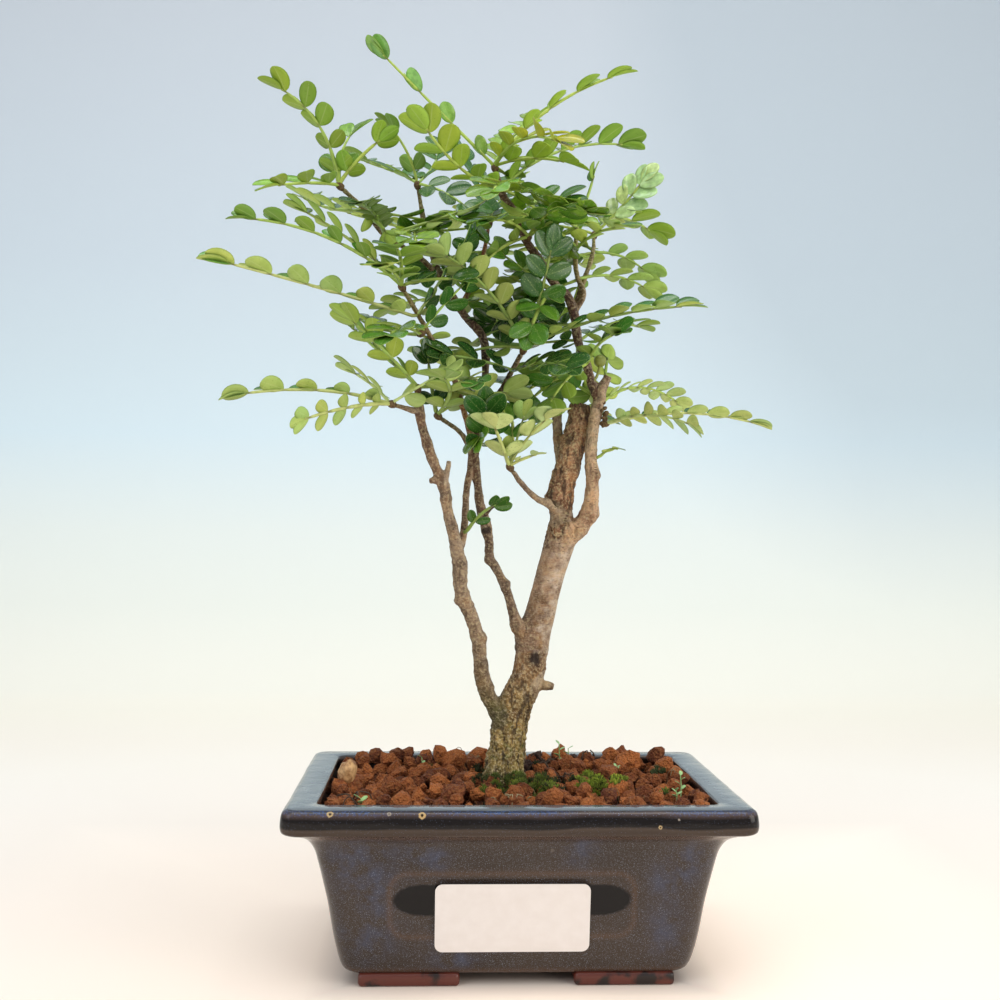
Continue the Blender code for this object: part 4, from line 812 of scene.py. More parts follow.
# ---- Wood
# The tree's own wood, one grown piece. The old trunk was sawn off high up and has regrown from its sides:
# rough and mossy at the foot, smooth and pale above, grooved and weathered at the stump.
STEM_TABLE = {
    "trunk": (10, [
        (-3.0, 0.0, 40.6, 7.0), (-3.0, 0.0, 47.0, 8.4), (-3.0, 0.0, 57.5, 8.6), (-3.0, 0.0, 61.5, 7.9),
        (-2.7, 0.0, 66.0, 7.2), (-2.0, 0.0, 72.0, 6.7), (-1.0, 0.0, 79.5, 6.5), (1.0, 0.0, 88.0, 6.4),
        (5.0, 0.0, 96.0, 5.8), (6.5, 1.0, 104.5, 5.9), (7.5, 1.0, 112.5, 6.1), (9.5, 1.0, 119.0, 5.6),
        (11.5, 1.0, 127.5, 5.3), (14.5, 2.0, 138.5, 5.3), (17.0, 2.0, 147.0, 5.6), (18.5, 2.0, 153.5, 5.6),
    ]),
    "stump": (8, [
        (18.0, 2.0, 148.0, 4.6), (17.0, 3.0, 161.5, 4.0), (19.0, 3.0, 172.5, 4.2),
        (20.5, 3.0, 179.5, 4.5), (23.0, 4.0, 187.0, 4.0), (24.0, 4.0, 196.0, 3.2),
    ]),
    "right": (7, [
        (19.5, 1.5, 147.5, 3.6), (25.0, 0.0, 153.5, 3.3), (27.3, -1.0, 159.0, 3.0),
        (28.0, -1.0, 166.0, 2.5), (28.0, -1.0, 172.5, 2.4), (27.5, -2.0, 181.5, 2.3),
        (29.5, -2.0, 194.5, 2.3), (31.0, -2.0, 201.0, 2.0), (33.5, -2.0, 206.5, 1.5),
    ]),
    "dark": (6, [
        (30.2, -2.0, 197.5, 1.8), (27.5, -2.0, 203.5, 1.8), (25.0, -3.0, 211.5, 1.7),
        (22.0, -4.0, 219.0, 1.7), (21.0, -4.0, 226.5, 1.7), (20.0, -4.0, 230.5, 1.8),
    ]),
    "arm": (5, [
        (20.5, -4.0, 228.5, 1.7), (18.0, -5.0, 235.0, 1.6), (14.0, -6.0, 238.0, 1.6),
        (8.0, -8.0, 246.5, 1.6), (2.5, -9.0, 254.0, 1.5), (-1.0, -10.0, 262.5, 1.5),
        (-6.0, -12.0, 269.0, 1.4), (-8.5, -14.0, 276.5, 1.1),
    ]),
    "young": (4, [
        (20.5, -4.0, 229.0, 1.3), (24.0, -3.0, 236.0, 1.1), (22.0, -1.0, 242.5, 1.0),
        (21.5, 2.0, 250.0, 1.0), (22.5, 6.0, 262.5, 0.8),
    ]),
    "behind": (4, [
        (20.5, -3.5, 229.5, 1.2), (24.0, 1.0, 240.0, 1.0), (29.0, 9.0, 255.0, 0.9),
        (29.5, 12.0, 260.0, 0.8),
    ]),
    "upper_left": (5, [
        (18.5, 3.5, 170.0, 1.9), (16.5, 5.0, 178.0, 1.6), (16.0, 7.0, 186.5, 1.9),
        (16.0, 9.0, 194.0, 1.7), (17.0, 9.0, 198.5, 1.1),
    ]),
    "upper_arm": (4, [(16.0, 8.5, 193.0, 1.3), (11.0, 13.0, 195.5, 1.1), (5.0, 18.0, 200.0, 0.9)]),
    "stem2": (7, [
        (-1.5, 0.0, 80.5, 3.4), (-7.5, -1.0, 88.0, 3.0), (-11.0, -3.0, 96.5, 2.9),
        (-12.0, -5.0, 104.5, 2.5), (-13.5, -6.0, 113.0, 2.6), (-15.5, -7.0, 119.5, 2.5),
        (-19.0, -9.0, 127.5, 2.7), (-20.0, -10.0, 138.5, 2.7), (-22.5, -12.0, 149.5, 2.1),
        (-24.5, -14.0, 157.5, 1.9), (-26.0, -15.0, 165.5, 2.2), (-28.5, -17.0, 171.0, 1.8),
        (-30.5, -18.0, 176.0, 1.9), (-33.5, -20.0, 185.5, 1.7), (-34.5, -21.0, 191.5, 1.7),
        (-35.0, -22.0, 196.5, 1.4),
    ]),
    "spur": (4, [(-34.5, -21.0, 190.8, 1.2), (-37.5, -24.0, 191.0, 1.0), (-42.5, -28.0, 192.0, 0.8)]),
    "stem2b": (5, [
        (-21.0, -10.5, 141.0, 1.8), (-19.0, -8.5, 146.0, 1.4), (-18.0, -7.0, 157.5, 1.3),
        (-17.5, -6.0, 166.0, 1.3), (-16.5, -5.0, 171.5, 1.3), (-15.8, -4.0, 179.0, 1.5),
    ]),
    "stem3": (6, [
        (6.5, 0.0, 108.0, 2.6), (2.0, -2.0, 115.5, 2.1), (0.0, -3.0, 119.5, 1.8),
        (-2.5, -3.0, 127.5, 1.7), (-6.5, -4.0, 136.0, 1.7), (-9.0, -4.0, 140.5, 1.7),
        (-9.5, -4.0, 147.0, 1.8), (-11.5, -4.0, 155.0, 2.0), (-13.0, -4.0, 160.5, 1.7),
        (-13.5, -4.0, 166.0, 1.5), (-14.5, -4.0, 171.5, 1.7), (-15.5, -4.0, 180.0, 2.1),
    ]),
    "left_twig": (4, [
        (-15.8, -4.5, 178.5, 1.3), (-17.5, -6.0, 181.0, 1.1), (-19.5, -8.0, 184.0, 1.0),
        (-27.0, -14.0, 189.0, 0.8),
    ]),
    "left_canopy": (5, [
        (-15.5, -4.0, 178.5, 1.6), (-16.0, -5.0, 182.5, 1.3), (-18.0, -7.0, 189.5, 1.2),
        (-20.5, -10.0, 197.0, 1.2), (-23.5, -13.0, 205.5, 1.1), (-25.0, -14.0, 208.5, 1.1),
        (-29.0, -17.0, 214.0, 1.0), (-34.5, -23.0, 222.5, 0.9), (-40.0, -28.0, 231.0, 0.8),
    ]),
    "mid_canopy": (5, [
        (-15.5, -4.0, 178.0, 2.0), (-14.0, -3.0, 184.5, 1.6), (-12.0, -1.0, 190.0, 1.5),
        (-10.5, 0.0, 194.5, 1.5), (-11.0, 2.0, 200.0, 1.5), (-11.0, 3.0, 208.5, 1.5),
        (-11.0, 4.0, 215.0, 1.7), (-12.5, 5.0, 222.0, 1.5), (-18.0, 6.5, 228.0, 1.5),
        (-23.0, 8.0, 236.0, 1.5), (-29.0, 9.0, 246.5, 1.5), (-31.0, 10.0, 253.0, 1.3),
        (-34.0, 11.0, 263.5, 1.1), (-36.5, 12.0, 277.0, 0.8),
    ]),
    "high_twig": (4, [
        (-28.5, 8.5, 243.5, 1.1), (-34.0, 2.0, 248.0, 1.0), (-42.5, -3.0, 252.5, 0.9),
        (-48.0, -6.0, 255.0, 0.9), (-55.0, -9.0, 263.5, 0.9), (-62.5, -11.0, 270.0, 0.8),
    ]),
    "reddish": (4, [
        (-20.5, 7.0, 231.5, 1.2), (-17.0, 10.0, 239.5, 1.0), (-14.0, 13.0, 247.0, 0.9),
        (-11.5, 15.0, 255.5, 0.9), (-10.0, 17.0, 264.5, 0.8),
    ]),
    "brown_right": (4, [
        (-10.8, 0.5, 196.5, 1.2), (-6.5, -1.0, 199.5, 1.0), (-1.5, -3.0, 208.0, 1.0),
        (1.5, -4.0, 213.5, 1.0),
    ]),
    "trunk_twig": (5, [
        (16.5, 0.5, 155.0, 1.6), (12.0, -3.0, 159.5, 1.3), (7.0, -6.0, 162.0, 1.1),
        (2.0, -9.0, 166.5, 1.0), (-1.5, -11.0, 171.0, 0.9),
    ]),
    "dry_twig": (4, [(-11.5, -4.5, 154.5, 0.9), (-9.0, -7.0, 157.5, 0.6), (-6.5, -9.0, 159.5, 0.5)]),
    "side_stub": (4, [
        (-25.8, -15.0, 165.0, 1.2), (-25.0, -16.0, 168.5, 1.0), (-24.0, -17.0, 174.0, 0.9),
    ]),
    "trunk_knob": (5, [(6.0, 0.0, 94.5, 2.4), (11.5, -1.0, 94.2, 1.8), (14.6, -1.5, 93.8, 1.3)]),
    "stem_knob": (4, [(-27.0, -16.0, 167.5, 1.6), (-31.0, -17.0, 167.0, 1.1)]),
}
# Bark tones for each stem, as (height, colour) from its foot to its tip.
BARK_TONES = {
    "trunk": [
        (60, "#766430"), (66, "#a68d4e"), (76, "#bc9c5a"), (86, "#b08c52"), (94, "#a27e50"), (103, "#9f784f"),
        (113, "#906b46"), (122, "#a5805c"), (132, "#ba987a"), (143, "#b89678"), (150, "#9e7854"),
    ],
    "stump": [(148, "#94684a"), (158, "#a87a5a"), (172, "#b48864"), (186, "#b88c6a"), (196, "#b48a68")],
    "right": [(148, "#cca682"), (156, "#d6a882"), (165, "#dab08a"), (182, "#dcbc9c"), (197, "#cfb294"), (206, "#7d6048")],
    "dark": [(197, "#6b4c3a"), (206, "#4c3228"), (231, "#44291f")],
    "arm": [(228, "#4d3022"), (276, "#6a4a2c")],
    "young": [(229, "#6b4a2c"), (262, "#8a8a40")],
    "behind": [(229, "#5d3f2a"), (260, "#8a8a40")],
    "upper_left": [(170, "#b09880"), (190, "#a89078"), (198, "#8a7058")],
    "upper_arm": [(193, "#7d5f46"), (200, "#6a503a")],
    "stem2": [
        (80, "#6b6034"), (88, "#7a6b3e"), (94, "#8f7650"), (106, "#9a8062"), (120, "#9f8468"), (140, "#a48c72"),
        (158, "#a48a70"), (166, "#8a6d54"), (180, "#7d604a"), (196, "#6b4e3c"),
    ],
    "spur": [(190, "#6f4f3a"), (192, "#7a6a3a")],
    "stem2b": [(141, "#8c7058"), (160, "#7a5c46"), (170, "#7d5a40"), (179, "#5f4434")],
    "stem3": [(108, "#9c7c60"), (118, "#96785e"), (132, "#87705a"), (146, "#735a46"), (160, "#6f543f"), (180, "#5b4132")],
    "left_twig": [(178, "#6b4a34"), (189, "#6a6a34")],
    "left_canopy": [(178, "#7c5435"), (200, "#98683a"), (231, "#7d7a3c")],
    "mid_canopy": [(178, "#573b2c"), (215, "#4a2f24"), (245, "#5b3c2a"), (277, "#6b6a34")],
    "high_twig": [(243, "#6a482e"), (270, "#7c7a3c")],
    "reddish": [(231, "#84502e"), (264, "#a8643c")],
    "brown_right": [(196, "#5b3c2a"), (213, "#5d4a2c")],
    "trunk_twig": [(155, "#a0886c"), (166, "#93795f"), (171, "#5f4834")],
    "dry_twig": [(154, "#3f2a20"), (160, "#4a3428")],
    "side_stub": [(165, "#9a8068"), (174, "#a8927a")],
    "trunk_knob": [(92, "#937349"), (95, "#b69c7a")],
    "stem_knob": [(167, "#8a6a50"), (168, "#9a7a5c")],
}

# Bark of an old pepper tree: dull and dry, smooth pale tan where it has peeled, with fine level scars,
# dark pores and lichen grey, and flaky and green with algae by the soil.
bark, tree, shader, spot = new_material("pepper_tree_bark", 0.82)
tone = add_node(tree, "Attribute", attribute_name="bark_tone").outputs["Color"]
rough_bark = add_node(tree, "Attribute", attribute_name="bark_rough").outputs["Fac"]
level_map = add_node(tree, "Mapping", {"Vector": spot, "Scale": (1.0, 1.0, 5.0)}).outputs[0]
up_map = add_node(tree, "Mapping", {"Vector": spot, "Scale": (1.0, 1.0, 0.28)}).outputs[0]
blotch = add_node(tree, "TexNoise", {"Vector": spot, "Scale": 190.0, "Detail": 5.0}).outputs["Fac"]
grit = add_node(tree, "TexNoise", {"Vector": spot, "Scale": 1100.0, "Detail": 5.0}).outputs["Fac"]
dash = add_node(tree, "TexNoise", {"Vector": level_map, "Scale": 640.0, "Detail": 4.0}).outputs["Fac"]
ridge = add_node(tree, "TexNoise", {"Vector": up_map, "Scale": 620.0, "Detail": 4.0}).outputs["Fac"]
pores = add_node(tree, "TexVoronoi", {"Vector": level_map, "Scale": 260.0}).outputs["Distance"]
flake = add_node(tree, "TexNoise", {"Vector": spot, "Scale": 520.0, "Detail": 5.0, "Roughness": 0.75}).outputs["Fac"]
light_mask = add_node(tree, "MapRange", {0: blotch, 1: 0.5, 2: 0.64, 3: 0.0, 4: 0.7}).outputs[0]
dark_mask = add_node(tree, "MapRange", {0: blotch, 1: 0.48, 2: 0.35, 3: 0.0, 4: 0.65}).outputs[0]
smooth = add_node(tree, "MapRange", {0: rough_bark, 1: 0.7, 2: 0.2, 3: 0.0, 4: 1.0}).outputs[0]
dash_mask = add_node(tree, "MapRange", {0: dash, 1: 0.55, 2: 0.66, 3: 0.0, 4: 0.34}).outputs[0]
dash_mask = add_node(tree, "Math", {0: dash_mask, 1: smooth}, operation="MULTIPLY").outputs[0]
scar_mask = add_node(tree, "MapRange", {0: dash, 1: 0.43, 2: 0.34, 3: 0.0, 4: 0.3}).outputs[0]
scar_mask = add_node(tree, "Math", {0: scar_mask, 1: smooth}, operation="MULTIPLY").outputs[0]
knot_dark = add_node(tree, "Attribute", attribute_name="knot_dark").outputs["Fac"]
knot_dark = add_node(tree, "Math", {0: flake, 1: -1.2, 2: 0.75}, operation="MULTIPLY_ADD").outputs[0], knot_dark
knot_dark = add_node(tree, "Math", {0: knot_dark[1], 1: knot_dark[0]}, operation="ADD").outputs[0]
knot_dark = add_node(tree, "MapRange", {0: knot_dark, 1: 0.45, 2: 0.8, 3: 0.0, 4: 0.92}).outputs[0]
pore_mask = add_node(tree, "MapRange", {0: pores, 1: 0.16, 2: 0.08, 3: 0.0, 4: 0.8}).outputs[0]
crack_mask = add_node(tree, "MapRange", {0: ridge, 1: 0.48, 2: 0.38, 3: 0.0, 4: 0.8}).outputs[0]
crack = add_node(tree, "Math", {0: crack_mask, 1: rough_bark}, operation="MULTIPLY").outputs[0]
# Painted shade and light on the relief: where the flake and grit noises sink the bump the colour is darkened, and where
# they raise it the colour is painted paler.
pit_mask = add_node(tree, "MapRange", {0: flake, 1: 0.44, 2: 0.34, 3: 0.0, 4: 1.0}).outputs[0]
pit_share = add_node(tree, "MapRange", {0: rough_bark, 1: 0.0, 2: 1.0, 3: 0.2, 4: 0.85}).outputs[0]
pitted = add_node(tree, "Math", {0: pit_mask, 1: pit_share}, operation="MULTIPLY").outputs[0]
crest_mask = add_node(tree, "MapRange", {0: flake, 1: 0.56, 2: 0.68, 3: 0.0, 4: 0.6}).outputs[0]
grit_low = add_node(tree, "MapRange", {0: grit, 1: 0.47, 2: 0.36, 3: 0.0, 4: 0.55}).outputs[0]
grit_low = add_node(tree, "Math", {0: grit_low, 1: pit_share}, operation="MULTIPLY").outputs[0]
grit_high = add_node(tree, "MapRange", {0: grit, 1: 0.5, 2: 0.62, 3: 0.0, 4: 0.8}).outputs[0]
grit_high = add_node(tree, "Math", {0: grit_high, 1: pit_share}, operation="MULTIPLY").outputs[0]
# Painted light and shade: bark facing +X, the lit side, is painted paler, and bark facing -X is painted darker.
side = add_node(tree, "SeparateXYZ", {0: add_node(tree, "NewGeometry").outputs["Normal"]}).outputs["X"]
painted_lit_side = add_node(tree, "MapRange", {0: side, 1: 0.15, 2: 0.9, 3: 0.0, 4: 0.5}).outputs[0]
painted_lit_side = add_node(tree, "Math", {0: painted_lit_side, 1: smooth}, operation="MULTIPLY").outputs[0]
painted_shaded_side = add_node(tree, "MapRange", {0: side, 1: 0.0, 2: -0.9, 3: 0.0, 4: 0.22}).outputs[0]
LAYERS = [
    (painted_lit_side, "#e2cdb6", "MIX"), (painted_shaded_side, "#6e523a", "MIX"),
    (light_mask, "#d6c4ac", "SOFT_LIGHT"), (dark_mask, "#8a6c52", "MULTIPLY"), (dash_mask, "#dcc8ae", "MIX"),
    (scar_mask, "#5f4432", "MIX"), (grit_high, "#dcc898", "MIX"), (grit_low, "#46331f", "MIX"),
    (crest_mask, "#d8c6a8", "MIX"), (pitted, "#3a2618", "MIX"), (pore_mask, "#3d2a1e", "MIX"), (crack, "#33241a", "MIX"),
    (knot_dark, "#2c1e15", "MIX"),
]
colour = tone
for mask, code, blend in LAYERS:
    layer = add_node(tree, "Mix", {0: mask, 6: colour, 7: hex_colour(code)}, data_type="RGBA", blend_type=blend)
    colour = layer.outputs[2]
tree.links.new(colour, shader.inputs["Base Color"])
coarse = add_node(tree, "Math", {0: ridge, 1: rough_bark}, operation="MULTIPLY").outputs[0]
relief = add_node(tree, "Math", {0: coarse, 1: grit}, operation="ADD").outputs[0]
relief = add_node(tree, "Math", {0: flake, 1: relief}, operation="ADD").outputs[0]
relief = add_node(tree, "Math", {0: pore_mask, 1: -0.5, 2: relief}, operation="MULTIPLY_ADD").outputs[0]
bump = add_node(tree, "Bump", {"Height": relief, "Strength": 1.0, "Distance": 0.0012})
tree.links.new(bump.outputs[0], shader.inputs["Normal"])


# Knots and scars, as (x, y, z, radius, swelling, colour, how much of it).
KNOTS = [
    (7.5, -5.5, 104.2, 2.4, -0.5, "#2f2218", 0.9), (-1.0, -1.5, 114.1, 4.5, 1.0, "#8a7048", 0.3),
    (-3.1, -3.0, 130.8, 1.4, 0.9, "#5a4232", 0.7), (-11.1, -4.0, 138.6, 1.6, 1.0, "#4c3626", 0.7),
    (-10.4, -5.0, 150.1, 1.6, 0.6, "#33241a", 0.7), (-21.4, -10.0, 124.7, 1.5, 0.9, "#8a7058", 0.4),
    (-10.9, -6.0, 111.7, 1.6, 0.8, "#6a4e38", 0.6), (-11.4, -5.5, 102.5, 1.8, 0.2, "#4c3828", 0.7),
    (13.1, -1.5, 173.8, 1.6, 0.9, "#7a5a42", 0.5), (12.7, 0.0, 162.2, 1.6, 1.3, "#7a5a42", 0.5),
    (28.8, -0.5, 156.4, 2.4, 0.9, "#9a7c60", 0.3), (25.0, -2.8, 150.5, 2.0, 0.6, "#8a6a50", 0.4),
    (29.8, -2.0, 170.2, 1.4, 0.6, "#7a5c44", 0.5), (-18.6, -12.0, 138.1, 2.2, 0.3, "#4a3426", 0.6),
    (10.5, -4.5, 119.0, 1.3, 0.3, "#6b4e38", 0.6), (13.0, -3.6, 130.0, 0.9, 0.3, "#6b4e38", 0.6),
    (3.0, -5.0, 90.0, 3.5, 0.8, "#b09a64", 0.5), (-6.0, -6.0, 84.0, 3.0, 0.6, "#54602a", 0.5),
    (31.0, -3.0, 198.0, 1.2, 0.7, "#7a5c44", 0.5), (16.0, 4.0, 184.0, 1.5, 0.6, "#8a6c54", 0.5),
    (-25.5, -14.5, 161.0, 1.6, 0.4, "#5a4232", 0.5), (-31.5, -18.5, 179.0, 1.5, 0.4, "#4c3828", 0.6),
]


def add_stem(name, route):
    """A round stem on a smooth line through its points, as a mesh."""
    bpy.ops.object.select_all(action="DESELECT")
    bpy.ops.curve.primitive_bezier_curve_add(location=(0, 0, 0))
    stem = bpy.context.object
    spline = stem.data.splines[0]
    spline.bezier_points.add(len(route) - 2)
    for knot, (x, y, z, radius) in zip(spline.bezier_points, route):
        knot.co = (Vector((x, y, z)) + POT_CENTRE) * MM
        knot.radius = radius
        knot.handle_left_type = knot.handle_right_type = "AUTO"
    stem.data.dimensions = "3D"
    stem.data.resolution_u = 6
    stem.data.bevel_depth = MM
    stem.data.bevel_resolution = 4
    stem.data.use_fill_caps = True
    bpy.ops.object.convert(target="MESH")
    stem = bpy.context.object
    stem.name = name
    return stem


stems = [add_stem("stem_" + name, route) for name, (_, route) in STEM_TABLE.items()]
pick(*stems)
bpy.ops.object.join()
wood = bpy.context.object
add_modifier(wood, "REMESH", mode="VOXEL", voxel_size=0.46 * MM)
add_modifier(wood, "SMOOTH", factor=0.6, iterations=3)

line_points, line_stems = [], []
for name, (_, route) in STEM_TABLE.items():
    for (ax, ay, az, ar), (bx, by, bz, br) in zip(route, route[1:]):
        for step in range(5):
            t = step / 5
            line_points.append((ax + (bx - ax) * t, ay + (by - ay) * t, az + (bz - az) * t))
            line_stems.append((name, ar + (br - ar) * t))
finder = KDTree(len(line_points))
for i, p in enumerate(line_points):
    finder.insert(p, i)
finder.balance()
tone_tables = {
    name: ([z for z, _ in rows], np.array([hex_colour(code) for _, code in rows]))
    for name, rows in BARK_TONES.items()
}

knots = [(Vector(row[:3]), *row[3:5], np.array(hex_colour(row[5])), row[6]) for row in KNOTS]
tones, rough_values, knot_values = [], [], []
normals = [corner.normal.copy() for corner in wood.data.vertices]
for corner, normal in zip(wood.data.vertices, normals):
    p = corner.co / MM - POT_CENTRE
    place, i, _ = min(finder.find_n(p, 3), key=lambda found: found[2] / line_stems[found[1]][1])
    name, radius = line_stems[i]
    # The new bark of the trunk ends below the dead stump in an arch with a dark edge.
    arch = (p.z - 147.0 - 0.75 * (p.x - 15.3) ** 2) / math.hypot(1.0, 1.5 * (p.x - 15.3))
    if name in ("trunk", "stump") and 144 < p.z < 158 and p.y < 4:
        name = "stump" if arch > 0 else "trunk"
    lump = noise.noise(p / 5.5) + 0.5 * noise.noise(p / 2.4)
    fine_lump = noise.noise(p / 1.1)
    ragged = 0.25
    if name == "trunk":
        ragged = float(np.interp(p.z, [60, 84, 100, 112, 140, 150], [1.0, 1.0, 0.7, 0.12, 0.1, 0.6]))
        push = 0.6 * ragged * lump + 0.6 * ragged * fine_lump + 0.2 * noise.noise(p / 9.0)
        groove = noise.noise(Vector((p.x / 1.9, p.y / 1.9, p.z / 9.0)))
        push += 0.5 * ragged * groove
    elif name == "stump":
        ragged = 0.9
        groove = noise.noise(Vector((p.x / 1.6, p.y / 1.6, p.z / 14.0)))
        push = 0.7 * groove + 0.3 * lump + 0.35 * fine_lump + 0.7 * min(max((p.z - 156) / 8, 0.0), 1.0)
        if p.z > 193:
            push += 0.9 * noise.noise(Vector((p.x / 1.3, p.y / 1.3, 4.0)))
    else:
        ragged = 0.45 if radius > 1.55 else 0.3
        push = (0.17 * lump + 0.06 * fine_lump) * min(radius, 2.4)
        ring = noise.noise(Vector((p.z / 1.7, p.x / 6.0, 3.0)))
        push += 0.12 * radius * max(ring, 0.0)
    heights, colours = tone_tables[name]
    colour = np.array([np.interp(p.z, heights, colours[:, k]) for k in range(4)])
    # Pale bark patches are kept to the side facing +X, where the light falls, so they are partly painted light; the
    # darker patches on the side turned away are painted shade.
    if name == "trunk" and p.z > 106:
        side = normal.x - 0.35 * normal.y
        white = max(0.0, noise.noise(Vector((p.x, p.y, p.z * 1.6)) / 3.4) + 0.2) * min(max(side + 0.3, 0.0), 0.9)
        white *= 0.7 + 0.6 * noise.noise(Vector((p.x, p.y, p.z * 3.0)) / 1.4)
        colour = colour + (np.array(hex_colour("#e6d8c8")) - colour) * min(max(1.4 * white, 0.0), 0.6)
        painted_shade_patch = max(0.0, noise.noise(p / 2.6 + Vector((9, 0, 0))) - 0.05) * max(0.3 - normal.x, 0.0)
        colour = colour + (np.array(hex_colour("#6f503a")) - colour) * min(1.1 * painted_shade_patch, 0.45)
    if name in ("trunk", "stem2") and p.z < 96:
        mossy = max(0.0, noise.noise(p / 2.0) + 0.1) * (96 - p.z) / 30
        colour = colour + (np.array(hex_colour("#5a6a22")) - colour) * min(1.3 * mossy, 0.8)
    if name in ("trunk", "stump") and 144 < p.z < 158 and p.y < 2:
        colour = colour * (1.0 - 0.65 * math.exp(-(arch / 0.5) ** 2))
    knot_value = 0.0
    for centre, size, rise, mark, share in knots:
        if abs(p.z - centre.z) < 2 * size and abs(p.y - centre.y) < 9:
            near = math.exp(-(math.hypot(p.x - centre.x, p.z - centre.z) / size) ** 2)
            push += 1.3 * rise * near
            knot_value = max(knot_value, near if mark[1] < 0.02 else 0.0)
            colour = colour + (mark - colour) * share * near
    corner.co += normal * push * MM
    tones.append(colour)
    rough_values.append(ragged)
    knot_values.append(knot_value)
store(wood, "bark_tone", tones, "FLOAT_COLOR")
store(wood, "bark_rough", rough_values)
store(wood, "knot_dark", knot_values)
wood.data.materials.clear()
wood.data.materials.append(bark)
pick(wood)
bpy.ops.object.shade_smooth()
settle(wood, "tree_wood", "bark", "wood")


# ---- Leaves
# Pepper-tree leaves: a thin winged stalk with pairs of small leathery leaflets and one more at its tip.
# They grow in small bunches from buds, glossy and dark when old, thin and yellow-green when young.
LEAFLET_LENGTH, PAIR_STEP, PETIOLE = 10.4, 6.9, 5.5
BUD_RADIUS = 1.7
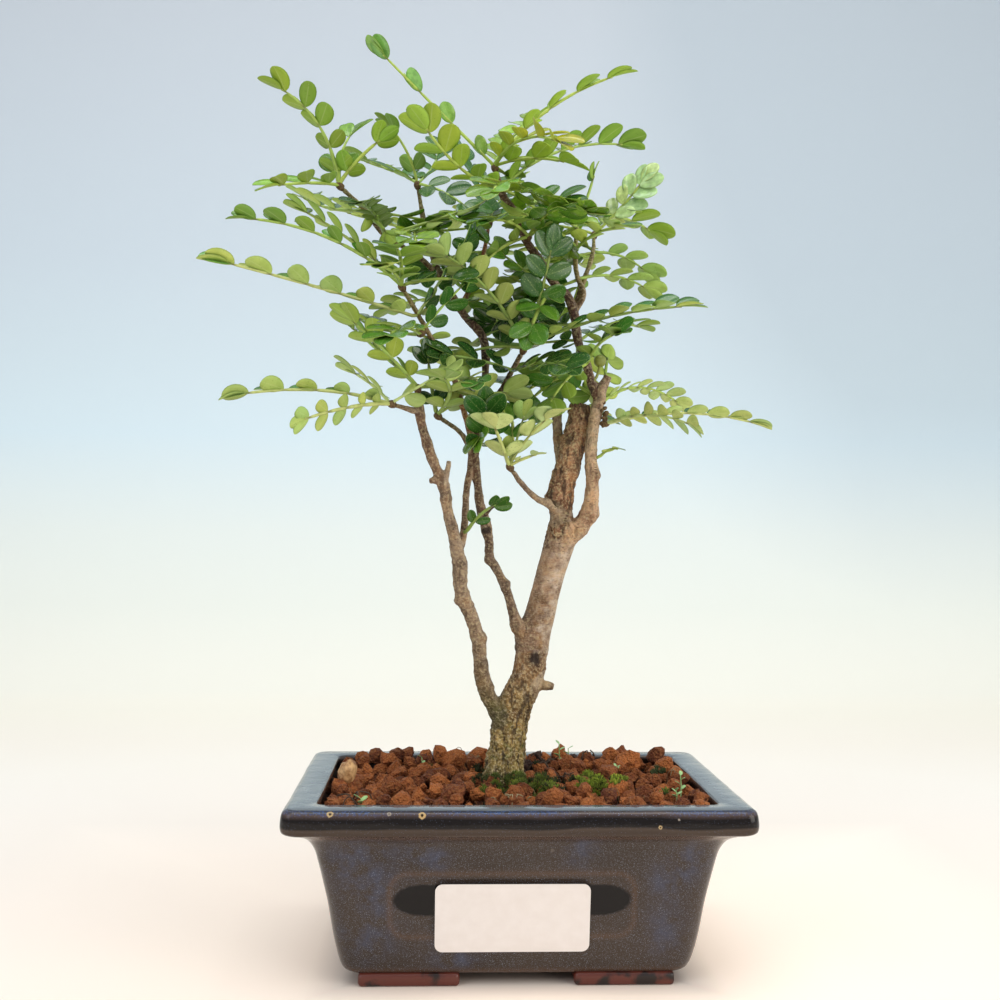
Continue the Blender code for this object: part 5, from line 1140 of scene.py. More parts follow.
# Each spray: the bud, the direction it points in, the leaf colour, and its leaves as
# (heading, rise, length, droop, sweep, roll, fold, lean of the leaflets).
SPRAY_TABLE = {
    "left_high": ((-36.1, -24.3, 223.0), (-0.63, -0.42, -0.65), "light", [
        (-142, 8, 78, -1, -18, 5, 30, 30),
    ]),
    "left_tip": ((-41.1, -29.0, 232.8), (-0.49, -0.44, 0.75), "green", [
        (-154, 37, 63, 42, -13, -5, 36, 42), (163, 46, 55, 21, -8, 20, 20, 44),
        (-95, 8, 38, 21, -10, 0, 15, 52), (-86, 20, 42, 27, -12, 0, 20, 52),
    ]),
    "stem2_tip": ((-35.2, -22.5, 199.0), (-0.10, -0.20, 0.98), "green", [
        (-135, 38, 42, 2, -28, 20, 10, 50), (142, 39, 51, 10, -15, 30, 25, 50),
    ]),
    "left_mid": ((-34.8, -20.7, 217.5), (-0.83, -0.02, -0.55), "green", [
        (145, 5, 40, -28, -14, 0, 20, 52), (-102, 4, 47, 33, -5, 0, 15, 52),
    ]),
    "spur_tip": ((-44.3, -29.4, 192.4), (-0.77, -0.62, 0.15), "light", [
        (-141, 11, 61, 26, -18, 12, 30, 24), (-127, -4, 43, 19, -21, 60, 5, 50),
        (127, 39, 32, 21, 15, 30, 15, 44),
    ]),
    "left_twig_tip": ((-28.6, -15.3, 190.1), (-0.69, -0.55, 0.46), "dark", [
        (-123, 69, 27, -5, 11, 225, 5, 54), (-55, 29, 38, 21, -79, 0, 10, 52),
    ]),
    "high_tip": ((-64.2, -11.5, 271.5), (-0.74, -0.20, 0.64), "bright", [
        (-111, 73, 47, 60, -59, 5, 22, 58), (91, 88, 31, 53, -69, 0, 15, 52),
        (-124, -8, 37, 12, -23, 0, 25, 52),
    ]),
    "high_upper": ((-55.8, -8.0, 263.5), (-0.43, 0.88, -0.22), "green", [
        (138, 7, 44, -24, -14, 0, 25, 52),
    ]),
    "high_middle": ((-47.7, -7.2, 254.9), (0.28, -0.95, -0.11), "dark", [
        (-102, 24, 40, 46, -3, 0, 15, 52),
    ]),
    "arm_tip": ((-9.2, -14.6, 278.7), (-0.31, -0.25, 0.92), "bright", [
        (-151, 34, 61, -6, -10, 194, -33, 24), (-6, 57, 61, 48, -7, 10, 25, 32),
        (-71, 22, 51, 60, 19, 0, 30, 46), (80, 36, 63, 3, -29, 0, 20, 52),
    ]),
    "arm_upper": ((-6.6, -15.8, 270.3), (0.02, -0.97, -0.25), "bright", [
        (-130, -8, 50, -63, -12, 15, 15, 50), (27, 48, 64, 54, -11, -10, 30, 46),
        (-90, -5, 50, 27, -17, 0, 15, 52),
    ]),
    "arm_middle": ((3.4, -12.4, 254.3), (0.29, -0.96, 0.01), "green", [
        (-48, 25, 37, 43, -1, 170, 5, 50), (-115, 12, 40, 37, -4, 0, 10, 52),
    ]),
    "brown_tip": ((2.6, -4.4, 215.6), (0.47, -0.16, 0.87), "dark", [
        (-67, 50, 46, -24, 5, 175, 5, 56), (-127, 48, 62, 43, -7, 20, 25, 52),
        (-45, 19, 69, 18, 43, 15, 25, 44),
    ]),
    "right_upper": ((32.9, -3.1, 189.0), (0.96, -0.25, -0.15), "light", [
        (15, 17, 67, 33, -3, -4, 28, 22), (-49, 15, 46, 44, -4, -45, 5, 40),
    ]),
    "behind_tip": ((29.7, 13.2, 262.0), (0.09, 0.51, 0.85), "bright", [
        (-3, 42, 35, -14, -14, 65, 5, 52), (63, 50, 47, 94, -48, 0, 20, 52),
    ]),
    "trunk_twig_tip": ((-2.9, -11.8, 172.8), (-0.58, -0.33, 0.74), "light", [
        (-108, 37, 30, 5, -5, 0, 15, 52), (-34, 72, 25, 9, -24, 0, 15, 52),
        (-36, 25, 16, 18, -1, 0, 10, 52), (74, 48, 36, 6, 27, 0, 15, 52),
        (-33, 59, 32, 46, -30, 0, 15, 52),
    ]),
    "mid_tip": ((-36.9, 12.2, 279.3), (-0.18, 0.07, 0.98), "green", [
        (-139, 75, 30, 49, -13, -5, 5, 56), (109, 26, 50, 5, 38, 0, 20, 52),
        (63, 32, 45, -15, 25, 0, 20, 52),
    ]),
    "mid_upper": ((-36.3, 9.8, 260.5), (-0.92, -0.32, -0.23), "bright", [
        (-96, -14, 52, 10, 16, 0, 20, 52), (137, 19, 48, 0, 7, 0, 20, 52),
    ]),
    "reddish_tip": ((-9.6, 17.5, 266.7), (0.16, 0.21, 0.96), "green", [
        (121, 70, 39, 12, 54, 0, 15, 52), (79, 36, 47, -2, -21, 0, 20, 52),
        (120, 31, 41, 46, -19, 0, 15, 52),
    ]),
    "young_tip": ((22.5, 6.2, 263.1), (0.08, 0.30, 0.95), "bright", [(-40, 66, 25, -12, 52, 0, 25, 48)]),
    "young_upper": ((22.2, 2.0, 253.9), (0.30, -0.92, 0.27), "green", [(-72, 15, 36, 29, 15, 0, 15, 52)]),
    "dark_low": ((25.7, -4.9, 210.7), (0.24, -0.97, -0.05), "green", [(-86, 25, 37, 31, 24, 25, 30, 48)]),
    "stem3_tip": ((-14.6, -6.2, 177.8), (0.29, -0.96, 0.03), "dark", [
        (-72, 21, 33, -37, -28, 180, 10, 46),
    ]),
    "left_low": ((-21.2, -12.7, 201.0), (0.54, -0.83, -0.10), "light", [
        (-57, 17, 29, 53, -43, 20, 15, 50),
    ]),
    "stem2b_low": ((-17.8, -9.6, 149.0), (0.56, -0.83, 0.06), "dark", [(-46, 51, 23, 40, 8, 150, 5, 50)]),
    "right_low": ((30.2, -2.6, 176.6), (0.90, -0.43, 0.00), "green", [(-34, 51, 12, 80, -11, 0, 5, 52)]),
    "brown_middle": ((-1.1, -4.2, 207.6), (0.29, -0.90, -0.32), "dark", [
        (-61, 7, 48, 29, -12, 30, 15, 50),
    ]),
    "arm_low": ((12.4, -6.1, 236.9), (-0.81, -0.06, -0.59), "green", [(-169, 14, 32, 17, 0, 0, 10, 52)]),
    "upper_arm_tip": ((3.4, 19.3, 201.2), (-0.67, 0.55, 0.50), "green", [
        (31, 42, 31, 54, -13, 0, 15, 52), (127, 37, 35, 55, 2, 0, 15, 52),
    ]),
    "mid_low": ((-10.1, 1.5, 193.4), (0.31, 0.90, -0.30), "green", [(49, 37, 34, 9, -35, 0, 15, 52)]),
    "young_low": ((23.3, -0.5, 242.2), (0.88, 0.46, 0.13), "green", [(27, 20, 39, 52, 5, -10, 15, 44)]),
    "behind_upper": ((30.0, 9.0, 254.0), (0.88, 0.22, -0.41), "green", [(27, 10, 32, 53, 7, -10, 15, 44)]),
    "right_tip": ((31.5, 0.1, 196.8), (0.54, 0.83, -0.13), "green", [(48, 34, 54, 66, -13, -22, 12, 42)]),
    "dark_middle": ((23.3, -2.5, 219.4), (0.66, 0.74, 0.09), "green", [(51, 30, 48, 37, -9, 0, 15, 52)]),
    "dark_upper": ((20.4, -2.1, 224.6), (-0.40, 0.91, -0.05), "dark", [(116, 15, 39, 14, 5, -35, 15, 52)]),
    "arm_back": ((9.5, -6.7, 247.0), (0.58, 0.60, 0.55), "green", [(69, 17, 51, 17, -11, 0, 20, 52)]),
    "reddish_middle": ((-11.0, 16.0, 255.0), (0.44, 0.84, -0.33), "green", [
        (57, 18, 39, 28, -8, 0, 15, 52),
    ]),
    "mid_back_upper": ((-26.9, 10.1, 245.6), (0.69, 0.65, 0.33), "green", [
        (65, 29, 45, 25, 14, 0, 15, 52),
    ]),
    "mid_back": ((-22.8, 9.4, 234.1), (-0.30, 0.88, -0.36), "green", [(128, 19, 48, 37, 5, 0, 15, 52)]),
    "mid_back_low": ((-13.2, 6.5, 220.8), (-0.48, 0.85, -0.22), "dark", [
        (119, -15, 46, -28, 4, 0, 15, 52),
    ]),
}
LEAF_COLOURS = {
    "dark": ["#264d1c", "#305e22", "#234a20", "#3a6624"],
    "green": ["#3a6e20", "#518324", "#34621f", "#669426"],
    "bright": ["#6f9c26", "#86b02c", "#5c9024", "#98bc36"],
    "light": ["#4c8230", "#60923a", "#42742f", "#78a446"],
}
UNDER_COLOURS = {
    "dark": ["#8ba34e", "#708a3e", "#9fb462"], "green": ["#97b146", "#7a9a3a", "#abc25a"],
    "bright": ["#9dba40", "#85a836", "#b0c856"], "light": ["#b6c872", "#a8be64", "#c2d086"],
}
# Leaves that differ from the others on their bud: one turning yellow, one young and still pale.
LEAF_TINTS = {
    ("arm_tip", 2): ("#b4b824", "#bcc040"), ("behind_tip", 0): ("#c9e092", "#c9dc9c"),
    ("young_tip", 0): ("#6fa43a", "#98ba4c"), ("high_tip", 0): ("#8fae34", "#8aa636"), ("arm_tip", 0): ("#8fbc5c", "#a8c45c"),
    ("right_tip", 0): ("#5c9a3c", "#bcd07a"), ("right_upper", 1): ("#5c9a3c", "#bccf78"), ("young_low", 0): ("#6aa43c", "#a4c05c"),
    ("behind_upper", 0): ("#6fa83e", "#a9c462"), ("brown_tip", 2): ("#3f7a34", "#a8c25c"),
}
# Leaves with wider or closer pairs than the others, as (millimetres between pairs, size of the leaflets).
LEAF_HABITS = {
    ("left_high", 0): (10.2, 1.02), ("spur_tip", 0): (8.8, 0.9), ("spur_tip", 1): (6.2, 0.66),
    ("behind_tip", 0): (4.6, 0.98), ("right_upper", 0): (7.6, 0.82), ("young_tip", 0): (6.0, 0.85), ("right_upper", 1): (6.0, 0.7),
    ("high_tip", 0): (6.1, 0.98), ("arm_tip", 0): (11.4, 0.88), ("arm_tip", 1): (9.0, 0.98), ("right_tip", 0): (5.6, 0.72),
    ("left_tip", 0): (8.2, 0.84), ("high_middle", 0): (3.8, 0.8),
}
STALK_COLOURS = {"dark": "#8aa650", "green": "#a3bd55", "bright": "#b2c95a", "light": "#c6d280"}
# How many small inner leaves stand among the main ones on a bud, and the way that they lean.
INNER_LEAVES = {
    "stem2_tip": (1, 20), "left_mid": (2, 20), "left_twig_tip": (1, 20), "high_middle": (1, -10),
    "mid_upper": (2, -30), "mid_low": (2, 200), "arm_middle": (2, 230), "brown_tip": (1, 190), "brown_middle": (1, 200),
    "dark_low": (2, 160), "dark_middle": (2, 120), "dark_upper": (1, 170),
    "left_low": (1, 60), "arm_low": (2, 200), "upper_arm_tip": (1, 150), "reddish_middle": (2, 180),
    "mid_back": (2, 10), "mid_back_upper": (1, 10), "mid_back_low": (2, 10), "mid_tip": (1, -40),
    "arm_tip": (2, 30), "arm_upper": (2, 0), "young_low": (2, 150), "young_upper": (2, 180), "young_tip": (2, 200),
    "behind_tip": (1, 180), "behind_upper": (2, 180), "reddish_tip": (2, 10), "high_tip": (1, 0),
    "high_upper": (2, -10), "right_tip": (2, 100), "right_upper": (1, 100), "left_tip": (1, 0),
    "spur_tip": (1, 10), "left_high": (2, 10),
}
# Leaf, upper face: a waxy skin over green flesh, glossy, with a pale midrib, faint side veins and oil spots.
leaf_upper, tree, shader, spot = new_material("waxy_leaf_upper", 0.3, IOR=1.5)
tone = add_node(tree, "Attribute", attribute_name="leaf_tone").outputs["Color"]
uv = add_node(tree, "UVMap", uv_map="UVMap").outputs[0]
split = add_node(tree, "SeparateXYZ", {0: uv})
half = add_node(tree, "Math", {0: split.outputs[1], 1: 0.5}, operation="SUBTRACT").outputs[0]
from_rib = add_node(tree, "Math", {0: half}, operation="ABSOLUTE").outputs[0]
midrib = add_node(tree, "MapRange", {0: from_rib, 1: 0.04, 2: 0.01, 3: 0.0, 4: 0.13}).outputs[0]
rim_side = add_node(tree, "MapRange", {0: from_rib, 1: 0.43, 2: 0.5, 3: 0.0, 4: 0.35}).outputs[0]
slant = add_node(tree, "Math", {0: from_rib, 1: -0.9, 2: split.outputs[0]}, operation="MULTIPLY_ADD").outputs[0]
veins = add_node(tree, "Math", {0: slant, 1: 44.0}, operation="MULTIPLY").outputs[0]
veins = add_node(tree, "Math", {0: veins}, operation="SINE").outputs[0]
vein = add_node(tree, "MapRange", {0: veins, 1: 0.6, 2: 1.0, 3: 0.0, 4: 0.05}).outputs[0]
mottle = add_node(tree, "TexNoise", {"Vector": spot, "Scale": 420.0, "Detail": 3.0}).outputs["Fac"]
oil = add_node(tree, "TexVoronoi", {"Vector": spot, "Scale": 1300.0}).outputs["Distance"]
oil_spot = add_node(tree, "MapRange", {0: oil, 1: 0.3, 2: 0.12, 3: 0.0, 4: 0.22}).outputs[0]
dull = add_node(tree, "MapRange", {0: mottle, 1: 0.4, 2: 0.7, 3: 0.0, 4: 0.45}).outputs[0]
varied_green = add_node(tree, "Mix", {0: dull, 6: tone, 7: hex_colour("#2f5f22")}, data_type="RGBA")
veined = add_node(tree, "Mix", {0: vein, 6: varied_green.outputs[2], 7: hex_colour("#a8c46a")}, data_type="RGBA")
ribbed = add_node(tree, "Mix", {0: midrib, 6: veined.outputs[2], 7: hex_colour("#b9cf7a")}, data_type="RGBA")
oiled = add_node(tree, "Mix", {0: oil_spot, 6: ribbed.outputs[2], 7: hex_colour("#cfe08a")}, data_type="RGBA")
rimmed = add_node(tree, "Mix", {0: rim_side, 6: oiled.outputs[2], 7: hex_colour("#24491a")}, data_type="RGBA")
tree.links.new(rimmed.outputs[2], shader.inputs["Base Color"])
waxy = add_node(tree, "MapRange", {0: mottle, 3: 0.1, 4: 0.28}).outputs[0]
tree.links.new(waxy, shader.inputs["Roughness"])
relief = add_node(tree, "Math", {0: midrib, 1: vein}, operation="ADD").outputs[0]
bump = add_node(tree, "Bump", {"Height": relief, "Strength": 0.35, "Distance": 0.0003}, invert=True)
tree.links.new(bump.outputs[0], shader.inputs["Normal"])

# Leaf, underside: the same skin without wax, paler and matt, with the midrib standing out.
leaf_under, tree, shader, spot = new_material("leaf_underside", 0.55, IOR=1.4)
tone = add_node(tree, "Attribute", attribute_name="under_tone").outputs["Color"]
uv = add_node(tree, "UVMap", uv_map="UVMap").outputs[0]
split = add_node(tree, "SeparateXYZ", {0: uv})
half = add_node(tree, "Math", {0: split.outputs[1], 1: 0.5}, operation="SUBTRACT").outputs[0]
from_rib = add_node(tree, "Math", {0: half}, operation="ABSOLUTE").outputs[0]
midrib = add_node(tree, "MapRange", {0: from_rib, 1: 0.045, 2: 0.01, 3: 0.0, 4: 0.2}).outputs[0]
rim_side = add_node(tree, "MapRange", {0: from_rib, 1: 0.43, 2: 0.5, 3: 0.0, 4: 0.4}).outputs[0]
glands = add_node(tree, "TexVoronoi", {"Vector": spot, "Scale": 900.0}).outputs["Distance"]
gland = add_node(tree, "MapRange", {0: glands, 1: 0.2, 2: 0.1, 3: 0.0, 4: 0.5}).outputs[0]
patchy = add_node(tree, "TexNoise", {"Vector": spot, "Scale": 260.0, "Detail": 3.0}).outputs["Fac"]
pale_share = add_node(tree, "MapRange", {0: patchy, 1: 0.45, 2: 0.7, 3: 0.0, 4: 0.4}).outputs[0]
mottled = add_node(tree, "Mix", {0: pale_share, 6: tone, 7: hex_colour("#7f9c35")}, data_type="RGBA")
ribbed = add_node(tree, "Mix", {0: midrib, 6: mottled.outputs[2], 7: hex_colour("#ced99a")}, data_type="RGBA")
dotted = add_node(tree, "Mix", {0: gland, 6: ribbed.outputs[2], 7: hex_colour("#4f6f22")}, data_type="RGBA")
rimmed = add_node(tree, "Mix", {0: rim_side, 6: dotted.outputs[2], 7: hex_colour("#4a6b22")}, data_type="RGBA")
tree.links.new(rimmed.outputs[2], shader.inputs["Base Color"])
bump = add_node(tree, "Bump", {"Height": midrib, "Strength": 0.3, "Distance": 0.0003})
tree.links.new(bump.outputs[0], shader.inputs["Normal"])

# Leaf stalk: green to yellow-brown, soft and slightly shiny, darker at each joint.
stalk, tree, shader, spot = new_material("leaf_stalk", 0.5)
tone = add_node(tree, "Attribute", attribute_name="leaf_tone").outputs["Color"]
joint = add_node(tree, "Attribute", attribute_name="stalk_joint").outputs["Fac"]
streak = add_node(tree, "TexNoise", {"Vector": spot, "Scale": 500.0, "Detail": 2.0}).outputs["Fac"]
streaks = add_node(tree, "MapRange", {0: streak, 1: 0.45, 2: 0.75, 3: 0.0, 4: 0.6}).outputs[0]
streaked = add_node(tree, "Mix", {0: streaks, 6: tone, 7: hex_colour("#8a963c")}, data_type="RGBA")
jointed = add_node(tree, "Mix", {0: joint, 6: streaked.outputs[2], 7: hex_colour("#4a3f1e")}, data_type="RGBA")
tree.links.new(jointed.outputs[2], shader.inputs["Base Color"])


def rest_way(leaf, share):
    """The direction of a leaf's stalk at a share of its length."""
    heading = math.radians(leaf[0] + leaf[4] * share)
    rise = math.radians(leaf[1] - leaf[3] * share)
    return Vector((math.cos(rise) * math.cos(heading), math.cos(rise) * math.sin(heading), math.sin(rise)))


def rest_frame(leaf, share):
    """The stalk's direction, its left side and the upper face's normal at a share of its length."""
    heading = math.radians(leaf[0] + leaf[4] * share)
    way = rest_way(leaf, share)
    left = Vector((-math.sin(heading), math.cos(heading), 0.0))
    up = way.cross(left)
    roll = math.radians(leaf[5])
    return way, left * math.cos(roll) + up * math.sin(roll), up * math.cos(roll) - left * math.sin(roll)


def stalk_point(base, leaf, along):
    """The point of the stalk at a distance from the bud."""
    spot = base.copy()
    for i in range(12):
        spot += rest_way(leaf, (i + 0.5) / 12 * along / leaf[2]) * (along / 12)
    return spot


def leaflet_half_width(share):
    """Half the leaflet's width at a share of its length: an oval, a little wider past its middle."""
    return 0.5 * max(1.0 - abs(2 * share ** 1.14 - 1) ** 2.2, 0.0) ** 0.54


bpy.ops.object.select_all(action="DESELECT")
bpy.ops.mesh.primitive_grid_add(x_subdivisions=10, y_subdivisions=4, size=1.0)
leaflet_model = bpy.context.object
for corner in leaflet_model.data.vertices:
    share, over = 0.5 - 0.5 * math.cos(math.pi * (corner.co.x + 0.5)), corner.co.y * 2
    width = max(leaflet_half_width(share), 0.035) * 0.67
    corner.co = Vector((share, over * width, 0.2 * abs(over) ** 1.5 * width - 0.1 * share ** 2))
for material in (leaf_upper, leaf_under, stalk):
    leaflet_model.data.materials.append(material)
add_modifier(leaflet_model, "SOLIDIFY", thickness=0.022, offset=0.0, material_offset=1, material_offset_rim=1)
bpy.ops.object.shade_smooth()

bpy.ops.mesh.primitive_ico_sphere_add(subdivisions=2, radius=1.0)
bud_model = bpy.context.object
for corner in bud_model.data.vertices:
    corner.co.x *= 0.75
    corner.co.y *= 0.75
    corner.co *= 1.0 + 0.18 * noise.noise(corner.co * 2.2)
bpy.ops.object.shade_smooth()

# Bud: brown overlapping scales with a dry matt skin.
bud_scale, tree, shader, spot = new_material("bud_scales", 0.7)
scaly = add_node(tree, "TexVoronoi", {"Vector": spot, "Scale": 1400.0}, feature="F1").outputs["Distance"]
scale_mix = add_node(tree, "Mix", {0: scaly, 6: hex_colour("#3a2519"), 7: hex_colour("#7c6238")}, data_type="RGBA")
tree.links.new(scale_mix.outputs[2], shader.inputs["Base Color"])
bump = add_node(tree, "Bump", {"Height": scaly, "Strength": 0.6, "Distance": 0.0004})
tree.links.new(bump.outputs[0], shader.inputs["Normal"])
bud_model.data.materials.append(bud_scale)


def add_leaflet(root, axis, across, up, length, colour, under):
    """A copy of the leaflet at its place on the stalk, in its own greens above and below."""
    leaflet = leaflet_model.copy()
    leaflet.data = leaflet_model.data.copy()
    turn = Matrix((axis, across, up)).transposed().to_4x4()
    size = Matrix.Diagonal((length * MM, length * MM * pick_leaf.uniform(0.86, 1.1), length * MM, 1.0))
    leaflet.matrix_world = Matrix.Translation((root + POT_CENTRE) * MM) @ turn @ size
    bpy.context.scene.collection.objects.link(leaflet)
    store(leaflet, "leaf_tone", [colour] * len(leaflet.data.vertices), "FLOAT_COLOR")
    store(leaflet, "under_tone", [under] * len(leaflet.data.vertices), "FLOAT_COLOR")
    return leaflet


def add_stalk(base, leaf, length, joints, colour, out):
    """The leaf's stalk: a thin winged strip from the bud to the last leaflet, narrow at its joints."""
    points, joint_values = [], []
    steps = max(8, int(length / 1.5))
    for step in range(steps + 1):
        along = length * step / steps
        near = min([abs(along - joint) for joint in joints] + [9.0])
        way, left, up = rest_frame(leaf, along / leaf[2])
        slim = 0.75 if along < joints[0] - 1 else 0.8
        half = slim * (1 - 0.35 * math.exp(-(near / 0.8) ** 2)) * (1.1 - 0.4 * along / length)
        spot = stalk_point(base, leaf, along) - out * (1.0 if step == 0 else 0.0)
        points += [spot + left * half, spot + up * half * 0.8, spot - left * half, spot - up * half * 0.8]
        joint_values += [0.8 * math.exp(-(near / 0.6) ** 2)] * 4
    faces = [(0, 1, 2, 3), tuple(range(4 * steps + 3, 4 * steps - 1, -1))]
    for step in range(steps):
        for i in range(4):
            j = (i + 1) % 4
            low, high = 4 * step, 4 * step + 4
            faces.append((low + i, high + i, high + j, low + j))
    strip = add_mesh("stalk", points, faces, [leaf_upper, leaf_under, stalk])
    for face in strip.data.polygons:
        face.material_index = 2
    strip.data.uv_layers.new(name="UVMap")
    store(strip, "leaf_tone", [colour] * len(points), "FLOAT_COLOR")
    store(strip, "stalk_joint", joint_values)
    pick(strip)
    bpy.ops.object.shade_smooth()
    return strip


def varied(code, pick_one, spread):
    """A colour made a little lighter, darker, warmer or cooler."""
    light = 1.0 + pick_one.uniform(-spread, spread)
    warm = 1.0 + pick_one.uniform(-spread, spread) * 0.6
    red, green, blue, _ = hex_colour(code)
    return (min(red * light * warm, 1.0), min(green * light, 1.0), min(blue * light / warm, 1.0), 1.0)


pick_leaf = random.Random(23)
for name, (bud, out, kind, leaves) in SPRAY_TABLE.items():
    bud, out = Vector(bud), Vector(out).normalized()
    pieces = []
    count, middle = INNER_LEAVES.get(name, (0, 0))
    inner = []
    for i in range(count):
        heading = middle + (i - (count - 1) / 2) * 75 + pick_leaf.uniform(-25, 25)
        shape = (pick_leaf.uniform(-30, 60), pick_leaf.uniform(26, 40), pick_leaf.uniform(-10, 50))
        inner.append((heading, *shape, pick_leaf.uniform(-20, 20), pick_leaf.choice([0, 180]) + pick_leaf.uniform(-50, 50), 15, 52))
    for number, leaf in enumerate(leaves + inner):
        length = leaf[2]
        pair_step, large = LEAF_HABITS.get((name, number), (min(PAIR_STEP, 0.24 * length), 1.0))
        top = min(LEAFLET_LENGTH, 0.31 * length) * large * pick_leaf.uniform(0.94, 1.04)
        stalk_end = length - top * 0.86
        first = min(PETIOLE, 0.24 * length)
        pairs = max(2, round((stalk_end - first) / pair_step))
        step = (stalk_end - 1.6 - first) / max(pairs - 1, 1)
        joints = [first + i * step for i in range(pairs)]
        leaf_code = pick_leaf.choice(LEAF_COLOURS[kind])
        under_code = pick_leaf.choice(UNDER_COLOURS[kind])
        leaf_code, under_code = LEAF_TINTS.get((name, number), (leaf_code, under_code))
        stalk_colour = varied(STALK_COLOURS[kind], pick_leaf, 0.12)
        pieces.append(add_stalk(bud, leaf, stalk_end, joints, stalk_colour, out))
        for i, along in enumerate(joints):
            grown = min(0.66 + 0.44 * (i + 1) / pairs, 1.0)
            for side in (1, -1):
                place = along + side * 0.35 * pick_leaf.uniform(-1, 1)
                way, left, up = rest_frame(leaf, place / length)
                lean = math.radians(leaf[7] + pick_leaf.uniform(-8, 5) - 12 * (i + 1 == pairs))
                fold = math.radians(leaf[6] + pick_leaf.uniform(-9, 9))
                flat = left * side * math.cos(fold) + up * math.sin(fold)
                axis = (way * math.cos(lean) + flat * math.sin(lean)).normalized()
                face_up = (up * math.cos(fold) - left * side * math.sin(fold)).normalized()
                twist = math.radians(pick_leaf.uniform(-14, 14))
                across = face_up.cross(axis).normalized()
                face_up = (face_up * math.cos(twist) + across * math.sin(twist)).normalized()
                across = face_up.cross(axis).normalized()
                root = stalk_point(bud, leaf, place) + flat * 0.3
                size = top * grown * pick_leaf.uniform(0.92, 1.06)
                colours = varied(leaf_code, pick_leaf, 0.28), varied(under_code, pick_leaf, 0.2)
                pieces.append(add_leaflet(root, axis, across, face_up, size, *colours))
        way, left, up = rest_frame(leaf, stalk_end / length)
        root = stalk_point(bud, leaf, stalk_end)
        colours = varied(leaf_code, pick_leaf, 0.14), varied(under_code, pick_leaf, 0.12)
        pieces.append(add_leaflet(root, way, up.cross(way), up, top * 0.9, *colours))
    if len(leaves) > 1:
        node_bud = bud_model.copy()
        node_bud.data = bud_model.data.copy()
        place = Matrix.Translation((bud - out * 0.7 + POT_CENTRE) * MM) @ out.to_track_quat("Z", "Y").to_matrix().to_4x4()
        node_bud.matrix_world = place @ Matrix.Scale(BUD_RADIUS * 1.1 * MM, 4)
        bpy.context.scene.collection.objects.link(node_bud)
        pieces.append(node_bud)
    pick(*pieces)
    bpy.ops.object.join()
    settle(bpy.context.object, "leaves_" + name, "leaf_" + kind, "spray_" + name)

# Buds on the right-hand branch: a cluster of brown ones, and a round olive one on a short green stalk.
fruit_skin, tree, shader, spot = new_material("olive_bud_skin", 0.4)
fruit = add_node(tree, "TexNoise", {"Vector": spot, "Scale": 500.0, "Detail": 3.0}).outputs["Fac"]
fruit_mix = add_node(tree, "Mix", {0: fruit, 6: hex_colour("#5f6a24"), 7: hex_colour("#9aa04c")}, data_type="RGBA")
tree.links.new(fruit_mix.outputs[2], shader.inputs["Base Color"])
bud_pieces = []
for x, y, z, size in (
    (31.4, -3.0, 196.6, 1.2), (32.2, -2.6, 194.6, 1.0), (32.6, -2.8, 192.6, 1.4), (31.6, -4.0, 191.0, 1.0),
    (32.4, -2.0, 189.4, 1.3), (31.6, -3.6, 188.2, 0.9), (32.8, -1.0, 191.0, 1.0), (31.0, -4.2, 193.6, 0.9),
):
    scale_bud = bud_model.copy()
    scale_bud.data = bud_model.data.copy()
    turn = Euler((0.4, pick_leaf.uniform(0.6, 1.4), pick_leaf.uniform(-0.8, 0.5))).to_matrix().to_4x4()
    scale_bud.matrix_world = Matrix.Translation((Vector((x, y, z)) + POT_CENTRE) * MM) @ turn @ Matrix.Scale(size * MM, 4)
    bpy.context.scene.collection.objects.link(scale_bud)
    bud_pieces.append(scale_bud)
pick(*bud_pieces)
bpy.ops.object.join()
settle(bpy.context.object, "brown_buds", "bark")
bud_stalk = add_thread([(27.6, -3.2, 203.8), (29.3, -2.6, 206.4), (30.4, -1.6, 210.4)], 0.55, 0.9)
bpy.ops.mesh.primitive_uv_sphere_add(
    segments=24, ring_count=14, radius=2.3 * MM, location=(Vector((30.5, -1.2, 212.0)) + POT_CENTRE) * MM,
)
round_bud = bpy.context.object
pick(round_bud, bud_stalk)
bpy.ops.object.join()
round_bud.data.materials.clear()
round_bud.data.materials.append(fruit_skin)
bpy.ops.object.shade_smooth()
settle(round_bud, "olive_bud", "leaf_green")
bpy.data.objects.remove(leaflet_model)
bpy.data.objects.remove(bud_model)


# ---- Stage
# A pale paper sweep: cream where the pot stands, then a soft change to cyan and grey-blue behind the tree.
SWEEP_WIDTH, SWEEP_FRONT, SWEEP_BACK, SWEEP_TOP, SWEEP_BEND = 2.4, -0.9, 0.95, 1.3, 0.35

# Matt background paper, smooth and without gloss.
sweep_paper, tree, shader, spot = new_material("matt_background_paper", 1.0)
height = add_node(tree, "SeparateXYZ", {0: spot}).outputs["Z"]
ramp = add_node(tree, "ValToRGB")
share = add_node(tree, "MapRange", {0: height, 1: 0.0, 2: 0.75}).outputs[0]
floor_share = add_node(tree, "SeparateXYZ", {0: spot}).outputs["Y"]
floor_share = add_node(tree, "MapRange", {0: floor_share, 1: -0.1, 2: 0.6, 3: 0.0, 4: 0.15}).outputs[0]
along = add_node(tree, "Math", {0: share, 1: 0.85}, operation="MULTIPLY").outputs[0]
along = add_node(tree, "Math", {0: along, 1: floor_share}, operation="ADD").outputs[0]
tree.links.new(along, ramp.inputs[0])
stops = [
    (0.0, "#f3ebe2"), (0.035, "#f6f0e7"), (0.0765, "#f7f2e9"), (0.12, "#fbf4e7"), (0.15, "#fff9ea"), (0.16, "#faf7ea"),
    (0.235, "#edf0e7"), (0.32, "#e5ece8"), (0.439, "#d4e5ed"), (0.66, "#cad7e1"), (1.0, "#c3ccd5"),
]
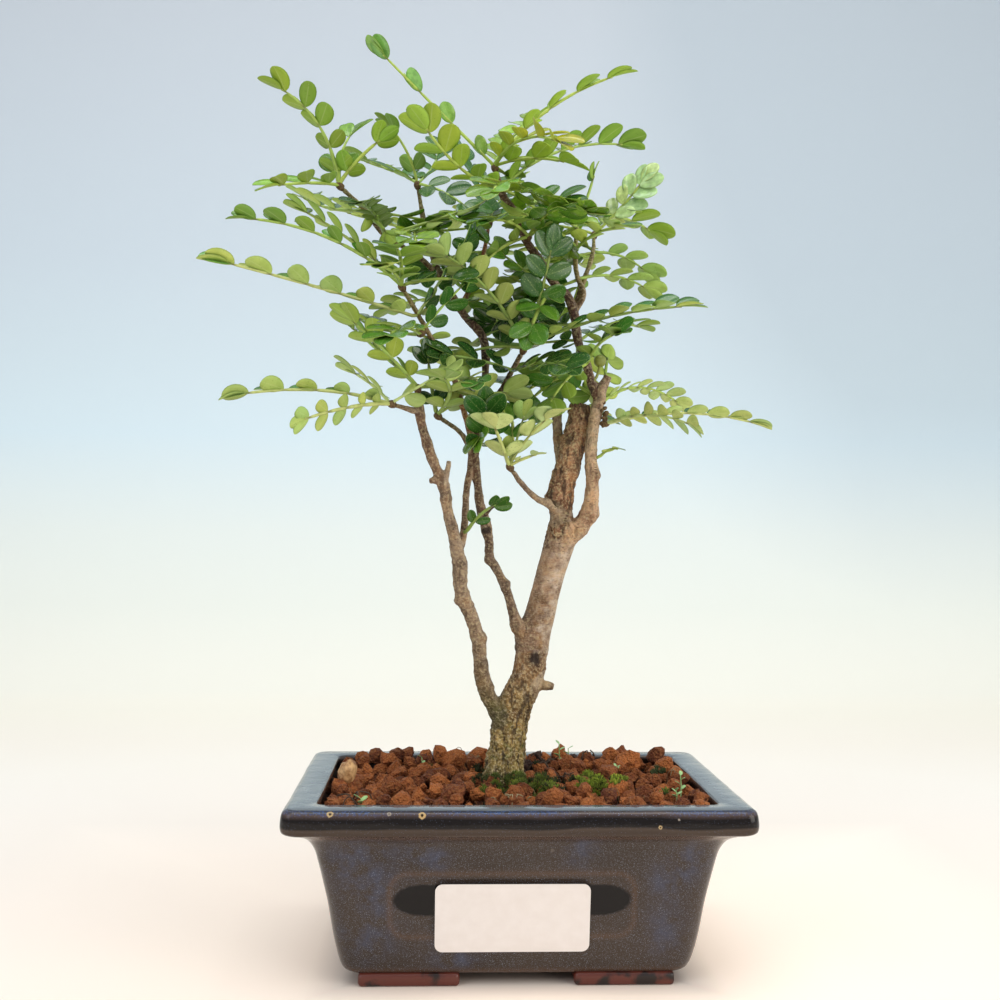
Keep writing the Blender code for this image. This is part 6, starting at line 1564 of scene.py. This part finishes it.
while len(ramp.color_ramp.elements) < len(stops):
    ramp.color_ramp.elements.new(0.5)
for stop, (place, code) in zip(ramp.color_ramp.elements, stops):
    stop.position = place
    stop.color = hex_colour(code)
apart = add_node(tree, "VectorMath", {0: spot, 1: (POT_CENTRE.x * MM, 0.0, 0.0)}, operation="DISTANCE").outputs["Value"]
near_pot = add_node(tree, "MapRange", {0: apart, 1: 0.42, 2: 0.1, 3: 0.0, 4: 1.0}).outputs[0]
warm = add_node(tree, "Mix", {0: near_pot, 6: ramp.outputs[0], 7: hex_colour("#f4e8dc")}, data_type="RGBA")
shaded_side = add_node(tree, "MapRange", {0: add_node(tree, "SeparateXYZ", {0: spot}).outputs[0], 1: 0.1, 2: 0.45})
shade_share = add_node(tree, "Math", {0: shaded_side.outputs[0], 1: share}, operation="MULTIPLY").outputs[0]
shade_share = add_node(tree, "MapRange", {0: shade_share, 1: 0.1, 2: 0.4, 3: 0.0, 4: 0.5}).outputs[0]
shaded = add_node(tree, "Mix", {0: shade_share, 6: warm.outputs[2], 7: hex_colour("#b2c0ca")}, data_type="RGBA")
# Painted light: the paper beside the pot glows a little, standing in for light that a white table throws back, so the
# shadow there stays soft.
reach = []
for axis, middle, half in ((0, POT_CENTRE.x, 57.0), (1, POT_CENTRE.y, 37.0)):
    off = add_node(tree, "SeparateXYZ", {0: spot}).outputs[axis]
    off = add_node(tree, "Math", {0: off, 1: middle * MM}, operation="SUBTRACT").outputs[0]
    off = add_node(tree, "Math", {0: off}, operation="ABSOLUTE").outputs[0]
    reach.append(add_node(tree, "Math", {0: off, 1: half * MM}, operation="SUBTRACT").outputs[0])
away = add_node(tree, "Math", {0: reach[0], 1: reach[1]}, operation="MAXIMUM").outputs[0]
# Painted shadow: the paper is darkened to brown under the pot's footprint.
under = add_node(tree, "MapRange", {0: away, 1: 0.001, 2: -0.008, 3: 0.0, 4: 0.5}).outputs[0]
paper_with_painted_shadow = add_node(tree, "Mix", {0: under, 6: shaded.outputs[2], 7: hex_colour("#6e4a38")}, data_type="RGBA")
tree.links.new(paper_with_painted_shadow.outputs[2], shader.inputs["Base Color"])
glow_in = add_node(tree, "MapRange", {0: away, 1: -0.002, 2: 0.012}).outputs[0]
glow_out = add_node(tree, "MapRange", {0: away, 1: 0.02, 2: 0.16, 3: 1.0, 4: 0.0}).outputs[0]
glow_side = add_node(tree, "MapRange", {0: add_node(tree, "SeparateXYZ", {0: spot}).outputs[0], 1: -0.08, 2: 0.08, 3: 0.19, 4: 0.33})
glow = add_node(tree, "Math", {0: glow_in, 1: glow_out}, operation="MULTIPLY").outputs[0]
glow = add_node(tree, "Math", {0: glow, 1: glow_side.outputs[0]}, operation="MULTIPLY").outputs[0]
tree.links.new(glow, shader.inputs["Emission Strength"])
shader.inputs["Emission Color"].default_value = hex_colour("#ffe1c4")
shader.inputs["Specular IOR Level"].default_value = 0.0

profile = [(SWEEP_FRONT, 0.0), (SWEEP_BACK - SWEEP_BEND, 0.0)]
for step in range(1, 25):
    turn = math.pi / 2 * step / 24
    profile.append((SWEEP_BACK - SWEEP_BEND + SWEEP_BEND * math.sin(turn), SWEEP_BEND - SWEEP_BEND * math.cos(turn)))
profile.append((SWEEP_BACK, SWEEP_TOP))
sweep_mesh = bpy.data.meshes.new("background_sweep")
sweep_mesh.from_pydata(
    [(side * SWEEP_WIDTH, y, z) for y, z in profile for side in (-1, 1)], [],
    [(2 * i, 2 * i + 1, 2 * i + 3, 2 * i + 2) for i in range(len(profile) - 1)],
)
sweep = bpy.data.objects.new("background_sweep", sweep_mesh)
sweep_mesh.materials.append(sweep_paper)
bpy.context.scene.collection.objects.link(sweep)
pick(sweep)
bpy.ops.object.shade_smooth()


def add_light(name, spot, target, size, watts, code):
    """A large soft lamp that points at a spot."""
    lamp_data = bpy.data.lights.new(name, "AREA")
    lamp_data.shape = "RECTANGLE"
    lamp_data.size, lamp_data.size_y = size
    lamp_data.energy = watts
    lamp_data.color = hex_colour(code)[:3]
    lamp = bpy.data.objects.new(name, lamp_data)
    lamp.location = spot
    lamp.rotation_euler = (Vector(target) - Vector(spot)).to_track_quat("-Z", "Y").to_euler()
    bpy.context.scene.collection.objects.link(lamp)


add_light("top_softbox", (0.0, -0.15, 1.25), (0.0, 0.0, 0.1), (1.0, 0.9), 9.0, "#ffffff")
add_light("left_softbox", (-1.0, -0.9, 0.75), (0.0, 0.0, 0.14), (0.8, 0.8), 4.5, "#fdfbff")
add_light("right_softbox", (1.0, -0.8, 0.42), (0.0, 0.0, 0.1), (1.0, 0.7), 8.0, "#fffaf2")

world = bpy.data.worlds.new("studio")
world.use_nodes = True
world.node_tree.nodes["Background"].inputs[0].default_value = hex_colour("#eef2f7")
world.node_tree.nodes["Background"].inputs[1].default_value = 0.58
bpy.context.scene.world = world
bpy.context.scene.view_settings.view_transform = "Standard"
